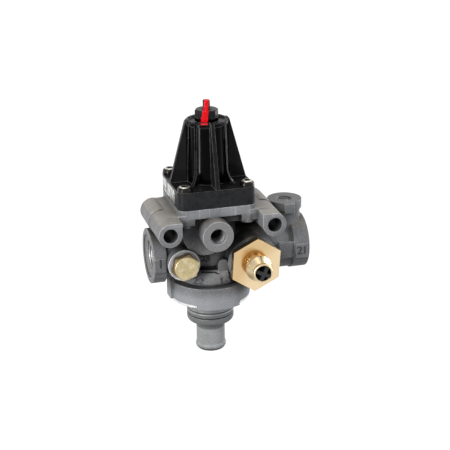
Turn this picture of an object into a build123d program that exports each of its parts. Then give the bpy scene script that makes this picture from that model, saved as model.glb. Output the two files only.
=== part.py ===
from build123d import *
import os
from math import cos, radians, sin, sqrt

os.makedirs("parts", exist_ok=True)

# Heights on the main axis, measured up from the open end of the exhaust spigot
port_height = 75.0
cover_bottom = port_height - 53.1
skirt_bottom = port_height - 34.8
ring_groove_top = skirt_bottom + 3.0
barrel_top = port_height - 19.2
shoulder_bottom = barrel_top + 2.6
column_bottom = port_height - 8.0
flange_bottom = port_height + 33.0
flange_thickness = 6.4
flange_top = flange_bottom + flange_thickness
bonnet_flange_thickness = 12.5
bonnet_flange_top = flange_top + bonnet_flange_thickness
bonnet_rim = bonnet_flange_top + 42.7
bonnet_boss_top = bonnet_rim + 2.4

# Body casting
barrel_radius = 28.4
barrel_bore_radius = barrel_radius - 3.9
groove_radius = barrel_radius - 5.8
shoulder_radius = barrel_radius - 3.0
shoulder_edge = 0.8
shoulder_crown = 1.3
column_radius = 18.4
flange_width = 54.0
flange_corner = 6.0
drum_radius = 16.0
drum_x = -8.0
drum_z = port_height + 21.0
drum_face_y = -23.0
piston_bore_radius = 15.0
piston_bore_top = port_height + 16.0
seat_shelf = barrel_top - 2.8

# Main ports 1 and 21, M22 x 1.5
port_boss_radius = 19.3
port_neck_radius = 17.3
port_bore_radius = 10.2
port_chamfer = 1.2
port_face_depth = 0.6
port_face_radius = 15.4
thread_depth = 16.0
port_1_face = 43.6
port_1_ring = 9.0
port_21_face = 68.0
port_21_ring = 11.0
port_21_neck_drop = 1.3
filter_bore_radius = 8.4
seat_hole_radius = 7.0
check_seat_x = 22.0

# Small ports, M12 x 1.5
small_bore_radius = 5.2
small_chamfer = 0.6
small_bore_depth = 13.0
port_23_x = -3.0
port_23_z = port_height + 22.6
port_23_face = 37.0
port_23_radius = 10.7
gauge_x = 55.4
gauge_top = port_height + 32.0
gauge_radius = 10.9
gauge_ring_radius = 12.1
gauge_ring_height = 6.2
port_22_x = -24.0
port_22_z = port_height
port_22_radius = 11.0
side_face_y = 25.0

# Drillings between the ports and the chambers
port_22_drill = 3.0
port_23_drill = 1.6
gauge_drill = 2.5
sensing_drill = 1.5
sensing_x = 26.0
sensing_lean = 10.0
inflation_drill = 3.0
inflation_drill_length = 14.0

# Tyre inflation boss
inflation_x = 25.4
inflation_z = port_height - 3.5
inflation_boss_radius = 18.1
inflation_boss_edge = 1.6
inflation_bore_radius = 10.4
inflation_bore_depth = 13.4

# Mounting bolt bosses
bolt_x = 36.0
bolt_z = flange_top - 11.8
bolt_front = 39.0
bolt_back = 17.0
bolt_boss_radius = 8.1
bolt_boss_rear_radius = 8.7
bolt_hole_radius = 5.0
bolt_step_y = -9.0
web_top = 8.8
web_bottom = 1.0
web_overlap = 2.0
back_web = 12.0
back_web_drop = 16.0

# Number pads: place, width, height and the depth of their face
number_pads = (
    (-39.4, port_height - 0.6, 8.2, 9.8, 19.7),
    (62.4, port_height - 1.6, 8.8, 10.2, 19.7),
    (51.8, port_height - 0.4, 11.4, 11.8, 18.2),
    (gauge_x, gauge_top - 4.0, 7.4, 7.0, 12.7),
)
pad_depth = 4.0

# Ribs of the body's front and the block at its left side
top_rib_width = 3.2
top_rib_spread = 5.6
top_rib_depth = 12.0
side_block_reach = barrel_radius + 1.9
side_block_width = 10.0
side_block_y = -1.0
front_rib_x = 4.0
front_rib_radius = 3.5
front_rib_height = 8.0
front_rib_face = 22.5
slot_x = -5.4
slot_length = 11.4
slot_height = 2.6
slot_depth = 2.0

# Bonnet screws
bonnet_screw_inset = 5.3
bonnet_screw_spacing = flange_width - 2 * bonnet_screw_inset
bonnet_screw_radius = 2.5
bonnet_screw_head_radius = 5.0
bonnet_screw_edge = 1.2
bonnet_screw_head = 3.7
bonnet_screw_reach = 21.0
recess_radius = 1.75
recess_lobe = 0.55
recess_depth = 2.2
screw_fit = 0.03
screw_hole_gap = 0.2
screw_tip_gap = 0.5
screw_boss_radius = 5.6
screw_boss_bottom = flange_bottom - 6.0

# Bonnet
bonnet_barrel_top_radius = 13.2
bonnet_barrel_base_radius = 14.6
bonnet_rim_radius = 14.6
bonnet_rim_height = 3.4
bonnet_rim_lip = 2.0
bonnet_rim_sink = 1.2
bonnet_edge = 0.7
bonnet_web = 2.8
bonnet_web_reach = 26.9
bonnet_web_knob = 1.0
bonnet_diagonal_web = 2.2
bonnet_diagonal_reach = 21.5
bonnet_diagonal_waist = 15.6
bonnet_diagonal_rise = 12.0
bonnet_boss_radius = 8.15
bonnet_bore_radius = 10.6
bonnet_roof = 12.0
bonnet_cup_radius = 20.0
bonnet_cup_depth = 7.0
bonnet_cup_slope = 4.0

# Adjusting screw and lock nut, M8
screw_radius = 4.0
screw_tip_radius = 2.5
nut_flats = 14.2
nut_height = 4.4
nut_bevel = 0.6
screw_shoulder = bonnet_boss_top + nut_height + 0.3
screw_top = screw_shoulder + 5.9
screw_bottom = bonnet_boss_top - 14.0
screw_edge = 0.6
screw_cone_radius = 2.4
screw_cone = 1.6
screw_slot = 0.9
running_fit = 0.04
bush_radius = 6.2
bush_length = 10.4

# Setting spring and diaphragm
seat_plate = 3.0
seat_plate_radius = 9.8
seat_pilot = 2.0
main_spring_radius = 8.0
main_wire = 2.8
main_turns = 6.5
diaphragm_thickness = 1.5
diaphragm_radius = 22.0
pressure_chamber_radius = 19.0
plate_radius = 15.0
plate_thickness = 2.2
plate_edge = 1.0
plate_lip = 1.8
plate_lip_width = 1.6
stud_radius = 3.0
stud_end = 0.6
diaphragm_nut_flats = 10.0
diaphragm_nut_height = 3.2
diaphragm_nut_bevel = 0.5

# Control piston and pilot valve
control_bore_radius = 6.0
vent_seat_radius = 3.4
pilot_chamber_top = piston_bore_top + 7.0
vent_seat_top = pilot_chamber_top + 2.0
control_piston_bottom = vent_seat_top + 0.4
control_ring_z = control_piston_bottom + 4.6
control_ring_section = 0.75
ring_groove_play = 0.15
control_nose_radius = 2.4
control_hole_radius = 1.4
control_flange = 2.0
cross_hole_radius = 0.9
pilot_chamber_radius = 5.5
pilot_disc_radius = 4.4
pilot_disc = 1.8
pilot_edge = 0.4
pilot_stem_radius = 1.8
pilot_travel = 0.6
pilot_retainer_height = 1.4
pilot_spring_radius = 2.9
pilot_wire = 0.6
pilot_turns = 3

# Unloader piston and exhaust valve
piston_top = piston_bore_top - 0.4
piston_crown = 5.0
piston_edge = 0.6
piston_dish_radius = 7.0
piston_dish = 1.5
piston_fillet = 2.0
piston_stem_radius = 4.5
piston_ring_section = 1.05
exhaust_hole_radius = 10.0
exhaust_seat_thickness = 4.0
exhaust_seat_bottom = seat_shelf - exhaust_seat_thickness
exhaust_lip = 0.8
exhaust_lip_width = 1.0
exhaust_disc_radius = 12.4
exhaust_disc = 3.2
exhaust_disc_edge = 1.4
exhaust_disc_slope = 3.0
exhaust_screw_radius = 2.5
exhaust_screw_head_radius = 4.4
exhaust_screw_head = 3.0
exhaust_screw_edge = 0.5
exhaust_screw_reach = 11.0
exhaust_screw_socket_radius = 2.3
exhaust_screw_socket = 2.0
guide_hub_radius = 7.0
guide_hub_height = 7.5
guide_arm = 3.0
guide_arm_height = 2.5
guide_arm_overlap = 1.6
insert_ring_section = 0.9
return_spring_radius = 12.4
return_wire = 1.8
return_turns = 5

# Exhaust cover and its ring
cover_rim_height = 5.8
cover_wall = 4.0
cover_step = 2.2
cover_neck_radius = 16.7
cover_neck_wall = 2.2
cover_neck_rounding = 3.2
cover_grooves = (5.9, 9.9, 13.9)
cover_groove = 1.1
cover_groove_width = 1.5
spigot_radius = 10.2
spigot_bead = 0.65
spigot_bead_height = 4.6
spigot_edge = 0.6
spigot_wall = 2.2
retaining_ring_height = 1.8
retaining_groove_radius = barrel_radius - 2.0
retaining_ring_outer = barrel_radius - 0.2
retaining_ring_inner = barrel_bore_radius - 1.9
retaining_ring_land = 1.0
retaining_ring_opening = 14.0
window_half_width = 15.0
window_half_length = 25.5

# Strainer
filter_flange = 1.6
filter_length = 11.0
filter_wall = 1.0
filter_slots = 8
filter_slot_length = 8.0
filter_slot_width = 2.4
filter_slot_x = 5.0

# Check valve
check_seal_thickness = 1.0
check_seal_radius = 3.0
check_disc_radius = 9.2
check_disc = 2.6
check_stem_radius = 4.4
check_stem_end = 44.6
check_stem_wall = 1.6
check_stem_depth = 12.0
check_retainer_x = 42.0
check_retainer = 2.4
check_vent_circle = 8.3
check_vent_radius = 1.3
check_spring_radius = 6.4
check_wire = 1.0
check_turns = 6
clip_height = 1.2
clip_groove_depth = 0.8
clip_width = 1.6
clip_opening = 8.0

# Tyre inflation fitting
fitting_flats = 33.3
fitting_bevel = 0.35
fitting_turn = 26
hex_thickness = 5.0
washer_thickness = 1.0
washer_inset = 1.5
nozzle_neck_radius = 7.2
nozzle_neck_length = 4.2
nozzle_neck_slope = 1.0
nozzle_base_radius = 9.2
nozzle_base_length = 6.9
nozzle_cone_radius = 6.4
nozzle_bead = 0.3
nozzle_bead_length = 2.6
nozzle_edge = 0.5
nozzle_length = 15.5
nozzle_bore_radius = 5.5
fitting_shank = 11.6
fitting_chamber_radius = 8.0
fitting_chamber_depth = 9.0
tappet_disc = 2.0
tappet_disc_radius = 6.6
tappet_core_radius = 2.0
tappet_leg = 2.4
tappet_leg_reach = 5.0
tappet_legs = 4
tappet_turn = 64
tappet_proud = 2.0
inflation_spring_radius = 4.4
inflation_wire = 1.0
inflation_turns = 4

# Port 22 plug
plug_flats = 17.0
plug_bevel = 1.45
plug_turn = 16
plug_shank = 10.0
plug_thread_end = 2.0
port_22_drill_end = 4.0

# Foil on the bonnet's flange
label_length = 36.0
label_height = 9.6
label_corner = 1.0
label_thickness = 0.15
label_y = 3.0

# General clearances
slip = 0.05
seal_gap = 0.1
free_gap = 0.3


def front_plane(x, y, z):
    """Plane facing the front, with its height along local Y."""
    return Plane(origin=(x, y, z), x_dir=(1, 0, 0), z_dir=(0, -1, 0))


def side_plane(x, direction):
    """Plane across the port axis, facing right for 1 and left for -1."""
    return Plane(origin=(x, 0, port_height), x_dir=(0, direction, 0), z_dir=(direction, 0, 0))


port_axis = Axis((0, 0, port_height), (1, 0, 0))
inflation_axis = Axis((inflation_x, 0, inflation_z), (0, 1, 0))
inflation_section = Plane.YZ.offset(inflation_x)


def upright_plane(angle):
    """Plane through the main axis, whose local X points outwards at an angle."""
    turn = radians(angle)
    return Plane(origin=(0, 0, 0), x_dir=(cos(turn), sin(turn), 0), z_dir=(sin(turn), -cos(turn), 0))


def save(part, name):
    part.label = name
    export_step(part, "parts/" + name + ".step")


def ring_between(plane, outer, inner, height):
    """Plain ring standing on a plane."""
    with BuildPart() as ring:
        with BuildSketch(plane):
            Circle(outer)
            Circle(inner, mode=Mode.SUBTRACT)
        extrude(amount=height)
    return ring.part


def seal_ring(plane, radius, section):
    """O-ring centred on a plane's origin."""
    with BuildPart() as seal:
        with BuildSketch(Plane(origin=plane.origin, x_dir=plane.x_dir, z_dir=-plane.y_dir)):
            with Locations((radius, 0)):
                Circle(section)
        revolve(axis=Axis(plane.origin, plane.z_dir))
    return seal.part


def coil_spring(plane, radius, wire, length, turns):
    """Round wire coil whose ends lie on the plane and a length above it."""
    rise = length - wire
    with BuildPart() as coil:
        with BuildLine() as path:
            Helix(pitch=rise / turns, height=rise, radius=radius, center=plane.offset(wire / 2).origin,
                  direction=plane.z_dir)
        with BuildSketch(Plane(origin=path.line @ 0, z_dir=path.line % 0)):
            Circle(wire / 2)
        sweep(path=path.line, is_frenet=True)
    return coil.part


def hex_head(plane, flats, height, bevel, turn=0):
    """Hex prism whose outer corners are turned to a cone."""
    corner = flats / sqrt(3)
    with BuildPart() as head:
        with BuildSketch(plane):
            RegularPolygon(radius=corner, side_count=6, rotation=turn)
        extrude(amount=height)
        with BuildSketch(Plane(origin=plane.origin, x_dir=plane.x_dir, z_dir=-plane.y_dir)):
            with BuildLine():
                Polyline(
                    (0, 0),
                    (corner + bevel, 0),
                    (corner + bevel, height - bevel - bevel / sqrt(3)),
                    (corner - bevel * sqrt(3), height),
                    (0, height),
                    (0, 0),
                )
            make_face()
        revolve(axis=Axis(plane.origin, plane.z_dir), mode=Mode.INTERSECT)
    return head.part


def hex_nut(plane, flats, height, bevel, bore):
    """Hex head with a plain bore."""
    with BuildPart() as nut:
        add(hex_head(plane, flats, height, bevel))
        with BuildSketch(plane):
            Circle(bore)
        extrude(amount=height, mode=Mode.SUBTRACT)
    return nut.part


def spring_clip(plane, outer, inner, height, gap):
    """Open ring that springs into a groove."""
    with BuildPart() as clip:
        with BuildSketch(plane):
            Circle(outer)
            Circle(inner, mode=Mode.SUBTRACT)
            with Locations((0, -outer)):
                Rectangle(gap, outer, mode=Mode.SUBTRACT)
        extrude(amount=height)
    return clip.part


# Places that several pieces share
filter_ledge_x = thread_depth - port_1_face
filter_clip_x = filter_ledge_x - filter_flange - clip_height - slip
check_clip_x = check_retainer_x + check_retainer
clip_groove_radius = port_bore_radius + clip_groove_depth
nut_bottom = bonnet_boss_top
bonnet_bore_top = bonnet_boss_top - bonnet_roof
bush_bottom = bonnet_boss_top - bush_length
cover_rim_bottom = ring_groove_top
exhaust_disc_top = exhaust_seat_bottom - exhaust_lip
crown_bottom = piston_top - piston_crown
plate_bottom = flange_top
plate_top = flange_top + plate_thickness
spring_seat_top = screw_bottom
spring_seat_bottom = spring_seat_top - seat_plate
pilot_disc_top = pilot_chamber_top - pilot_travel
diaphragm_bottom = flange_top - diaphragm_thickness
hex_back_y = side_face_y + washer_thickness
hex_face_y = hex_back_y + hex_thickness
shoulder_y = hex_back_y - fitting_shank + fitting_chamber_depth
screw_depth = bonnet_flange_top - bonnet_screw_reach

# Body casting
with BuildPart() as body:
    with BuildSketch(Plane.XZ):
        with BuildLine():
            Polyline(
                (column_radius, column_bottom),
                (column_radius, flange_bottom),
                (0, flange_bottom),
                (0, skirt_bottom),
                (barrel_radius, skirt_bottom),
                (barrel_radius, barrel_top),
                (groove_radius, barrel_top),
                (groove_radius, shoulder_bottom - shoulder_edge),
                (shoulder_radius, shoulder_bottom),
            )
            ThreePointArc(
                (shoulder_radius, shoulder_bottom),
                ((shoulder_radius + column_radius) / 2 + shoulder_crown, (shoulder_bottom + column_bottom) / 2
                 + shoulder_crown),
                (column_radius, column_bottom),
            )
        make_face()
    revolve(axis=Axis.Z)

    # Square top flange with a boss under each corner
    with BuildSketch(Plane.XY.offset(flange_bottom)):
        RectangleRounded(flange_width, flange_width, flange_corner)
    extrude(amount=flange_top - flange_bottom)
    with BuildSketch(Plane.XY.offset(screw_boss_bottom)):
        with GridLocations(bonnet_screw_spacing, bonnet_screw_spacing, 2, 2):
            Circle(screw_boss_radius)
        RectangleRounded(bonnet_screw_spacing, bonnet_screw_spacing, flange_corner)
    extrude(amount=flange_bottom - screw_boss_bottom)

    # Drum that carries port 23, and the boss itself
    with BuildSketch(front_plane(drum_x, 0, drum_z)):
        Circle(drum_radius)
    extrude(amount=-drum_face_y)
    with BuildSketch(front_plane(port_23_x, 0, port_23_z)):
        Circle(port_23_radius)
    extrude(amount=port_23_face)

    # Necks and rings of the two main ports
    with BuildSketch(side_plane(0, -1)):
        Circle(port_neck_radius)
    extrude(amount=port_1_face - port_1_ring)
    with BuildSketch(side_plane(-(port_1_face - port_1_ring), -1)):
        Circle(port_boss_radius)
    extrude(amount=port_1_ring)
    with BuildSketch(side_plane(0, 1)):
        with Locations((0, -port_21_neck_drop)):
            Circle(port_neck_radius)
    extrude(amount=port_21_face - port_21_ring)
    with BuildSketch(side_plane(port_21_face - port_21_ring, 1)):
        Circle(port_boss_radius)
    extrude(amount=port_21_ring)

    # Gauge port tower on the neck of port 21
    with BuildSketch(Plane((gauge_x, 0, port_height))):
        Circle(gauge_radius)
    extrude(amount=gauge_top - port_height)
    with BuildSketch(Plane((gauge_x, 0, gauge_top - gauge_ring_height))):
        Circle(gauge_ring_radius)
    extrude(amount=gauge_ring_height)

    # Bosses of port 22 and of the tyre inflation fitting
    with BuildSketch(front_plane(port_22_x, 0, port_22_z)):
        Circle(port_22_radius)
    extrude(amount=side_face_y)
    with BuildSketch(front_plane(inflation_x, 0, inflation_z)):
        Circle(inflation_boss_radius)
    extrude(amount=side_face_y - inflation_boss_edge)
    with BuildSketch(front_plane(inflation_x, inflation_boss_edge - side_face_y, inflation_z)):
        Circle(inflation_boss_radius)
    extrude(amount=inflation_boss_edge, taper=45)

    # Through-bolt bosses with their webs to the flange
    for side in (-1, 1):
        with BuildSketch(front_plane(side * bolt_x, bolt_back, bolt_z)):
            Circle(bolt_boss_radius)
            with Locations((-side * bolt_boss_radius / 2, bolt_boss_radius / 2)):
                Rectangle(bolt_boss_radius, bolt_boss_radius)
        extrude(amount=bolt_front + bolt_back)
        with BuildSketch(front_plane(side * bolt_x, bolt_back, bolt_z)):
            Circle(bolt_boss_rear_radius)
        extrude(amount=bolt_back - bolt_step_y)
        with BuildSketch(front_plane(side * bolt_x, bolt_back, bolt_z)):
            with BuildLine():
                Polyline(
                    (0, bolt_boss_radius),
                    (-side * (bolt_x - flange_width / 2 + web_overlap), web_top),
                    (-side * (bolt_x - column_radius + web_overlap), web_top - web_bottom),
                    (-side * (bolt_x - column_radius + web_overlap), web_bottom),
                    (0, web_bottom),
                    (0, bolt_boss_radius),
                )
            make_face()
        extrude(amount=bolt_back + flange_width / 2)
        with BuildSketch(front_plane(side * bolt_x, bolt_back, bolt_z)):
            with BuildLine():
                Polyline(
                    (0, 0),
                    (-side * (bolt_x - column_radius + web_overlap), 0),
                    (-side * (bolt_x - column_radius + web_overlap), -back_web_drop),
                    (0, -back_web_drop),
                    (0, 0),
                )
            make_face()
        extrude(amount=back_web)

    # Flat pads for the port numbers
    for x, z, width, height, face in number_pads:
        with BuildSketch(front_plane(x, -face, z)):
            Rectangle(width, height)
        extrude(amount=-pad_depth)

    # Small rib from port 23's boss up to the flange, and the block beside the barrel
    with BuildSketch(front_plane(port_23_x, drum_face_y, screw_boss_bottom)):
        with BuildLine():
            Polyline(
                (-top_rib_width / 2, 0),
                (top_rib_width / 2, 0),
                (top_rib_spread / 2, flange_bottom - screw_boss_bottom),
                (-top_rib_spread / 2, flange_bottom - screw_boss_bottom),
                (-top_rib_width / 2, 0),
            )
        make_face()
    extrude(amount=top_rib_depth)
    with BuildSketch(Plane.XY.offset(ring_groove_top)):
        with Locations((-side_block_reach / 2, side_block_y)):
            Rectangle(side_block_reach, side_block_width)
    extrude(amount=port_height - ring_groove_top)

    # Slot above the shoulder, beside a round-topped rib on the front of the column
    with BuildSketch(Plane.XY.offset(column_bottom)):
        Circle(shoulder_radius)
        Circle(column_radius - slot_depth, mode=Mode.SUBTRACT)
        with Locations((slot_x, -column_radius)):
            Rectangle(slot_length, column_radius, mode=Mode.INTERSECT)
    extrude(amount=slot_height, mode=Mode.SUBTRACT)
    with BuildSketch(front_plane(front_rib_x, 0, column_bottom)):
        with Locations((0, front_rib_height / 2 - front_rib_radius)):
            SlotOverall(front_rib_height + 2 * front_rib_radius, 2 * front_rib_radius, rotation=90)
    extrude(amount=front_rib_face)

    # Barrel bore, piston bore, pilot bores and pressure chamber
    with BuildSketch(Plane.XZ):
        with BuildLine():
            Polyline(
                (0, skirt_bottom),
                (barrel_bore_radius, skirt_bottom),
                (barrel_bore_radius, seat_shelf),
                (piston_bore_radius, seat_shelf),
                (piston_bore_radius, piston_bore_top),
                (pilot_chamber_radius, piston_bore_top),
                (pilot_chamber_radius, pilot_chamber_top),
                (vent_seat_radius, pilot_chamber_top),
                (vent_seat_radius, vent_seat_top),
                (control_bore_radius, vent_seat_top),
                (control_bore_radius, flange_bottom),
                (pressure_chamber_radius, flange_bottom),
                (pressure_chamber_radius, flange_top - diaphragm_thickness),
                (diaphragm_radius + slip, flange_top - diaphragm_thickness),
                (diaphragm_radius + slip, flange_top),
                (0, flange_top),
                (0, skirt_bottom),
            )
        make_face()
    revolve(axis=Axis.Z, mode=Mode.SUBTRACT)

    # Main port bores
    with BuildSketch(Plane.XZ):
        with BuildLine():
            Polyline(
                (-port_1_face, port_height),
                (-port_1_face, port_height + port_face_radius),
                (-port_1_face + port_face_depth, port_height + port_face_radius),
                (-port_1_face + port_face_depth, port_height + port_bore_radius + port_chamfer),
                (-port_1_face + port_face_depth + port_chamfer, port_height + port_bore_radius),
                (filter_clip_x, port_height + port_bore_radius),
                (filter_clip_x, port_height + clip_groove_radius),
                (filter_clip_x + clip_height + slip, port_height + clip_groove_radius),
                (filter_clip_x + clip_height + slip, port_height + port_bore_radius),
                (filter_ledge_x, port_height + port_bore_radius),
                (filter_ledge_x, port_height + filter_bore_radius),
                (0, port_height + filter_bore_radius),
                (0, port_height + seat_hole_radius),
                (check_seat_x, port_height + seat_hole_radius),
                (check_seat_x, port_height + port_bore_radius),
                (check_clip_x, port_height + port_bore_radius),
                (check_clip_x, port_height + clip_groove_radius),
                (check_clip_x + clip_height + slip, port_height + clip_groove_radius),
                (check_clip_x + clip_height + slip, port_height + port_bore_radius),
                (port_21_face - port_face_depth - port_chamfer, port_height + port_bore_radius),
                (port_21_face - port_face_depth, port_height + port_bore_radius + port_chamfer),
                (port_21_face - port_face_depth, port_height + port_face_radius),
                (port_21_face, port_height + port_face_radius),
                (port_21_face, port_height),
                (-port_1_face, port_height),
            )
        make_face()
    revolve(axis=port_axis, mode=Mode.SUBTRACT)

    # Small port bores, each with a chamfered mouth
    small_mouths = (
        (front_plane(port_23_x, -port_23_face, port_23_z), small_bore_depth),
        (front_plane(port_22_x, -side_face_y, port_22_z), plug_shank + plug_thread_end),
        (Plane((gauge_x, 0, gauge_top)), small_bore_depth),
    )
    for mouth, depth in small_mouths:
        with BuildSketch(mouth):
            Circle(small_bore_radius)
        extrude(amount=-depth, mode=Mode.SUBTRACT)
        with BuildSketch(mouth):
            Circle(small_bore_radius + small_chamfer)
        extrude(amount=-small_chamfer, taper=45, mode=Mode.SUBTRACT)

    # Drillings from port 22 to port 1, from port 23 to the pilot chamber, from the gauge port to port 21
    with BuildSketch(front_plane(port_22_x, -side_face_y, port_22_z)):
        Circle(port_22_drill)
    extrude(amount=port_22_drill_end - side_face_y, mode=Mode.SUBTRACT)
    with BuildSketch(front_plane(port_23_x, -port_23_face, (pilot_chamber_top + piston_bore_top) / 2)):
        Circle(port_23_drill)
    extrude(amount=-port_23_face, mode=Mode.SUBTRACT)
    with BuildSketch(Plane((gauge_x, 0, port_height))):
        Circle(gauge_drill)
    extrude(amount=gauge_top - port_height, mode=Mode.SUBTRACT)

    # Sensing passage from behind the check valve up to the pressure chamber
    sensing_rise = flange_bottom - port_height
    with BuildSketch(Plane(origin=(sensing_x, 0, port_height), z_dir=(-sensing_lean, 0, sensing_rise))):
        Circle(sensing_drill)
    extrude(amount=sqrt(sensing_rise**2 + sensing_lean**2) + sensing_drill, mode=Mode.SUBTRACT)

    # Tyre inflation bore and its passage to the supply chamber
    with BuildSketch(front_plane(inflation_x, -side_face_y, inflation_z)):
        Circle(inflation_bore_radius)
    extrude(amount=-inflation_bore_depth, mode=Mode.SUBTRACT)
    drill_y = inflation_bore_depth - side_face_y - inflation_drill / 2
    with BuildSketch(Plane(origin=(inflation_x - inflation_drill, drill_y, inflation_z), z_dir=(-2, 1, 0))):
        Circle(inflation_drill)
    extrude(amount=inflation_drill_length, mode=Mode.SUBTRACT)

    # Bolt holes and screw holes
    for side in (-1, 1):
        with BuildSketch(front_plane(side * bolt_x, bolt_back, bolt_z)):
            Circle(bolt_hole_radius)
        extrude(amount=bolt_front + bolt_back, mode=Mode.SUBTRACT)
    with BuildSketch(Plane.XY.offset(screw_depth)):
        with GridLocations(bonnet_screw_spacing, bonnet_screw_spacing, 2, 2):
            Circle(bonnet_screw_radius + screw_fit)
    extrude(amount=flange_top - screw_depth, mode=Mode.SUBTRACT)

    # Skirt windows that lay the retaining ring open on both sides
    with BuildSketch(Plane.XY.offset(skirt_bottom)):
        with Locations((-barrel_radius, 0), (barrel_radius, 0)):
            Rectangle(2 * (barrel_radius - window_half_width), 2 * window_half_length)
    extrude(amount=ring_groove_top - skirt_bottom, mode=Mode.SUBTRACT)

    # Groove for the retaining ring in the skirt's front and rear tongues
    with BuildSketch(Plane.XY.offset(ring_groove_top - retaining_ring_height - slip)):
        Circle(retaining_groove_radius + slip)
    extrude(amount=retaining_ring_height + slip, mode=Mode.SUBTRACT)
save(body.part, "body")

# Spring bonnet, with four main webs and four flared ones between them
rim_bottom = bonnet_rim - bonnet_rim_height
web_root = bonnet_boss_radius + bonnet_web
with BuildPart() as bonnet:
    with BuildSketch(Plane.XY.offset(flange_top)):
        RectangleRounded(flange_width, flange_width, flange_corner)
    extrude(amount=bonnet_flange_thickness)
    with BuildSketch(Plane.XZ):
        with BuildLine():
            Polyline(
                (0, bonnet_flange_top),
                (bonnet_barrel_base_radius, bonnet_flange_top),
                (bonnet_barrel_top_radius, rim_bottom),
                (bonnet_rim_radius, rim_bottom + bonnet_edge),
                (bonnet_rim_radius, bonnet_rim - bonnet_edge),
                (bonnet_rim_radius - bonnet_edge, bonnet_rim),
                (bonnet_rim_radius - bonnet_rim_lip, bonnet_rim),
                (bonnet_rim_radius - bonnet_rim_lip - bonnet_edge, bonnet_rim - bonnet_rim_sink),
                (bonnet_boss_radius, bonnet_rim - bonnet_rim_sink),
                (bonnet_boss_radius, bonnet_boss_top - bonnet_edge),
                (bonnet_boss_radius - bonnet_edge, bonnet_boss_top),
                (0, bonnet_boss_top),
                (0, bonnet_flange_top),
            )
        make_face()
    revolve(axis=Axis.Z)
    for quarter in range(4):
        with BuildSketch(upright_plane(90 * quarter)):
            with BuildLine():
                Polyline(
                    (web_root, bonnet_flange_top),
                    (bonnet_web_reach, bonnet_flange_top),
                    (bonnet_rim_radius + bonnet_web_knob, bonnet_rim - bonnet_edge),
                    (bonnet_rim_radius, bonnet_rim + bonnet_web_knob / 2),
                    (bonnet_rim_radius - bonnet_rim_lip, bonnet_rim + bonnet_web_knob / 2),
                    (web_root, rim_bottom),
                    (web_root, bonnet_flange_top),
                )
            make_face()
        extrude(amount=bonnet_web / 2, both=True)
        diagonal_foot = (bonnet_diagonal_reach, bonnet_flange_top)
        diagonal_waist = (bonnet_diagonal_waist, bonnet_flange_top + bonnet_diagonal_rise)
        flare_radius = (bonnet_diagonal_reach + 2 * bonnet_diagonal_waist) / 3
        diagonal_flare = (flare_radius, bonnet_flange_top + bonnet_diagonal_rise / 3)
        with BuildSketch(upright_plane(90 * quarter + 45)):
            with BuildLine():
                ThreePointArc(diagonal_foot, diagonal_flare, diagonal_waist)
                Polyline(
                    diagonal_waist,
                    (bonnet_rim_radius, bonnet_rim - bonnet_edge),
                    (web_root, rim_bottom),
                    (web_root, bonnet_flange_top),
                    diagonal_foot,
                )
            make_face()
        extrude(amount=bonnet_diagonal_web / 2, both=True)
    with BuildSketch(Plane.XZ):
        with BuildLine():
            Polyline(
                (0, flange_top),
                (bonnet_cup_radius, flange_top),
                (bonnet_cup_radius, flange_top + bonnet_cup_depth),
                (bonnet_bore_radius, flange_top + bonnet_cup_depth + bonnet_cup_slope),
                (bonnet_bore_radius, bonnet_bore_top),
                (bush_radius + slip, bonnet_bore_top),
                (bush_radius + slip, bonnet_boss_top),
                (0, bonnet_boss_top),
                (0, flange_top),
            )
        make_face()
    revolve(axis=Axis.Z, mode=Mode.SUBTRACT)
    with BuildSketch(Plane.XY.offset(flange_top)):
        with GridLocations(bonnet_screw_spacing, bonnet_screw_spacing, 2, 2):
            Circle(bonnet_screw_radius + screw_hole_gap)
    extrude(amount=bonnet_flange_thickness, mode=Mode.SUBTRACT)
save(bonnet.part, "bonnet")

# Bush moulded into the bonnet
screw_clearance = screw_radius + running_fit
save(ring_between(Plane.XY.offset(bush_bottom), bush_radius, screw_clearance, bush_length), "thread_bush")

# Pan head screws with a six-lobed recess
head_top = bonnet_flange_top + bonnet_screw_head
with BuildPart() as single_screw:
    with BuildSketch(Plane.XZ):
        with BuildLine():
            Polyline(
                (bonnet_screw_head_radius / 2, head_top),
                (0, head_top),
                (0, screw_depth + screw_tip_gap),
                (bonnet_screw_radius, screw_depth + screw_tip_gap),
                (bonnet_screw_radius, bonnet_flange_top),
                (bonnet_screw_head_radius, bonnet_flange_top),
                (bonnet_screw_head_radius, bonnet_flange_top + bonnet_screw_edge),
            )
            ThreePointArc(
                (bonnet_screw_head_radius, bonnet_flange_top + bonnet_screw_edge),
                (bonnet_screw_head_radius * 0.8, bonnet_flange_top + bonnet_screw_head * 0.82),
                (bonnet_screw_head_radius / 2, head_top),
            )
        make_face()
    revolve(axis=Axis.Z)
    with BuildSketch(Plane.XY.offset(head_top)):
        Circle(recess_radius)
        with PolarLocations(recess_radius, 6):
            Circle(recess_lobe)
    extrude(amount=-recess_depth, mode=Mode.SUBTRACT)
with BuildPart() as bonnet_screws:
    with GridLocations(bonnet_screw_spacing, bonnet_screw_spacing, 2, 2):
        add(single_screw.part)
save(bonnet_screws.part, "bonnet_screws")

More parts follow.
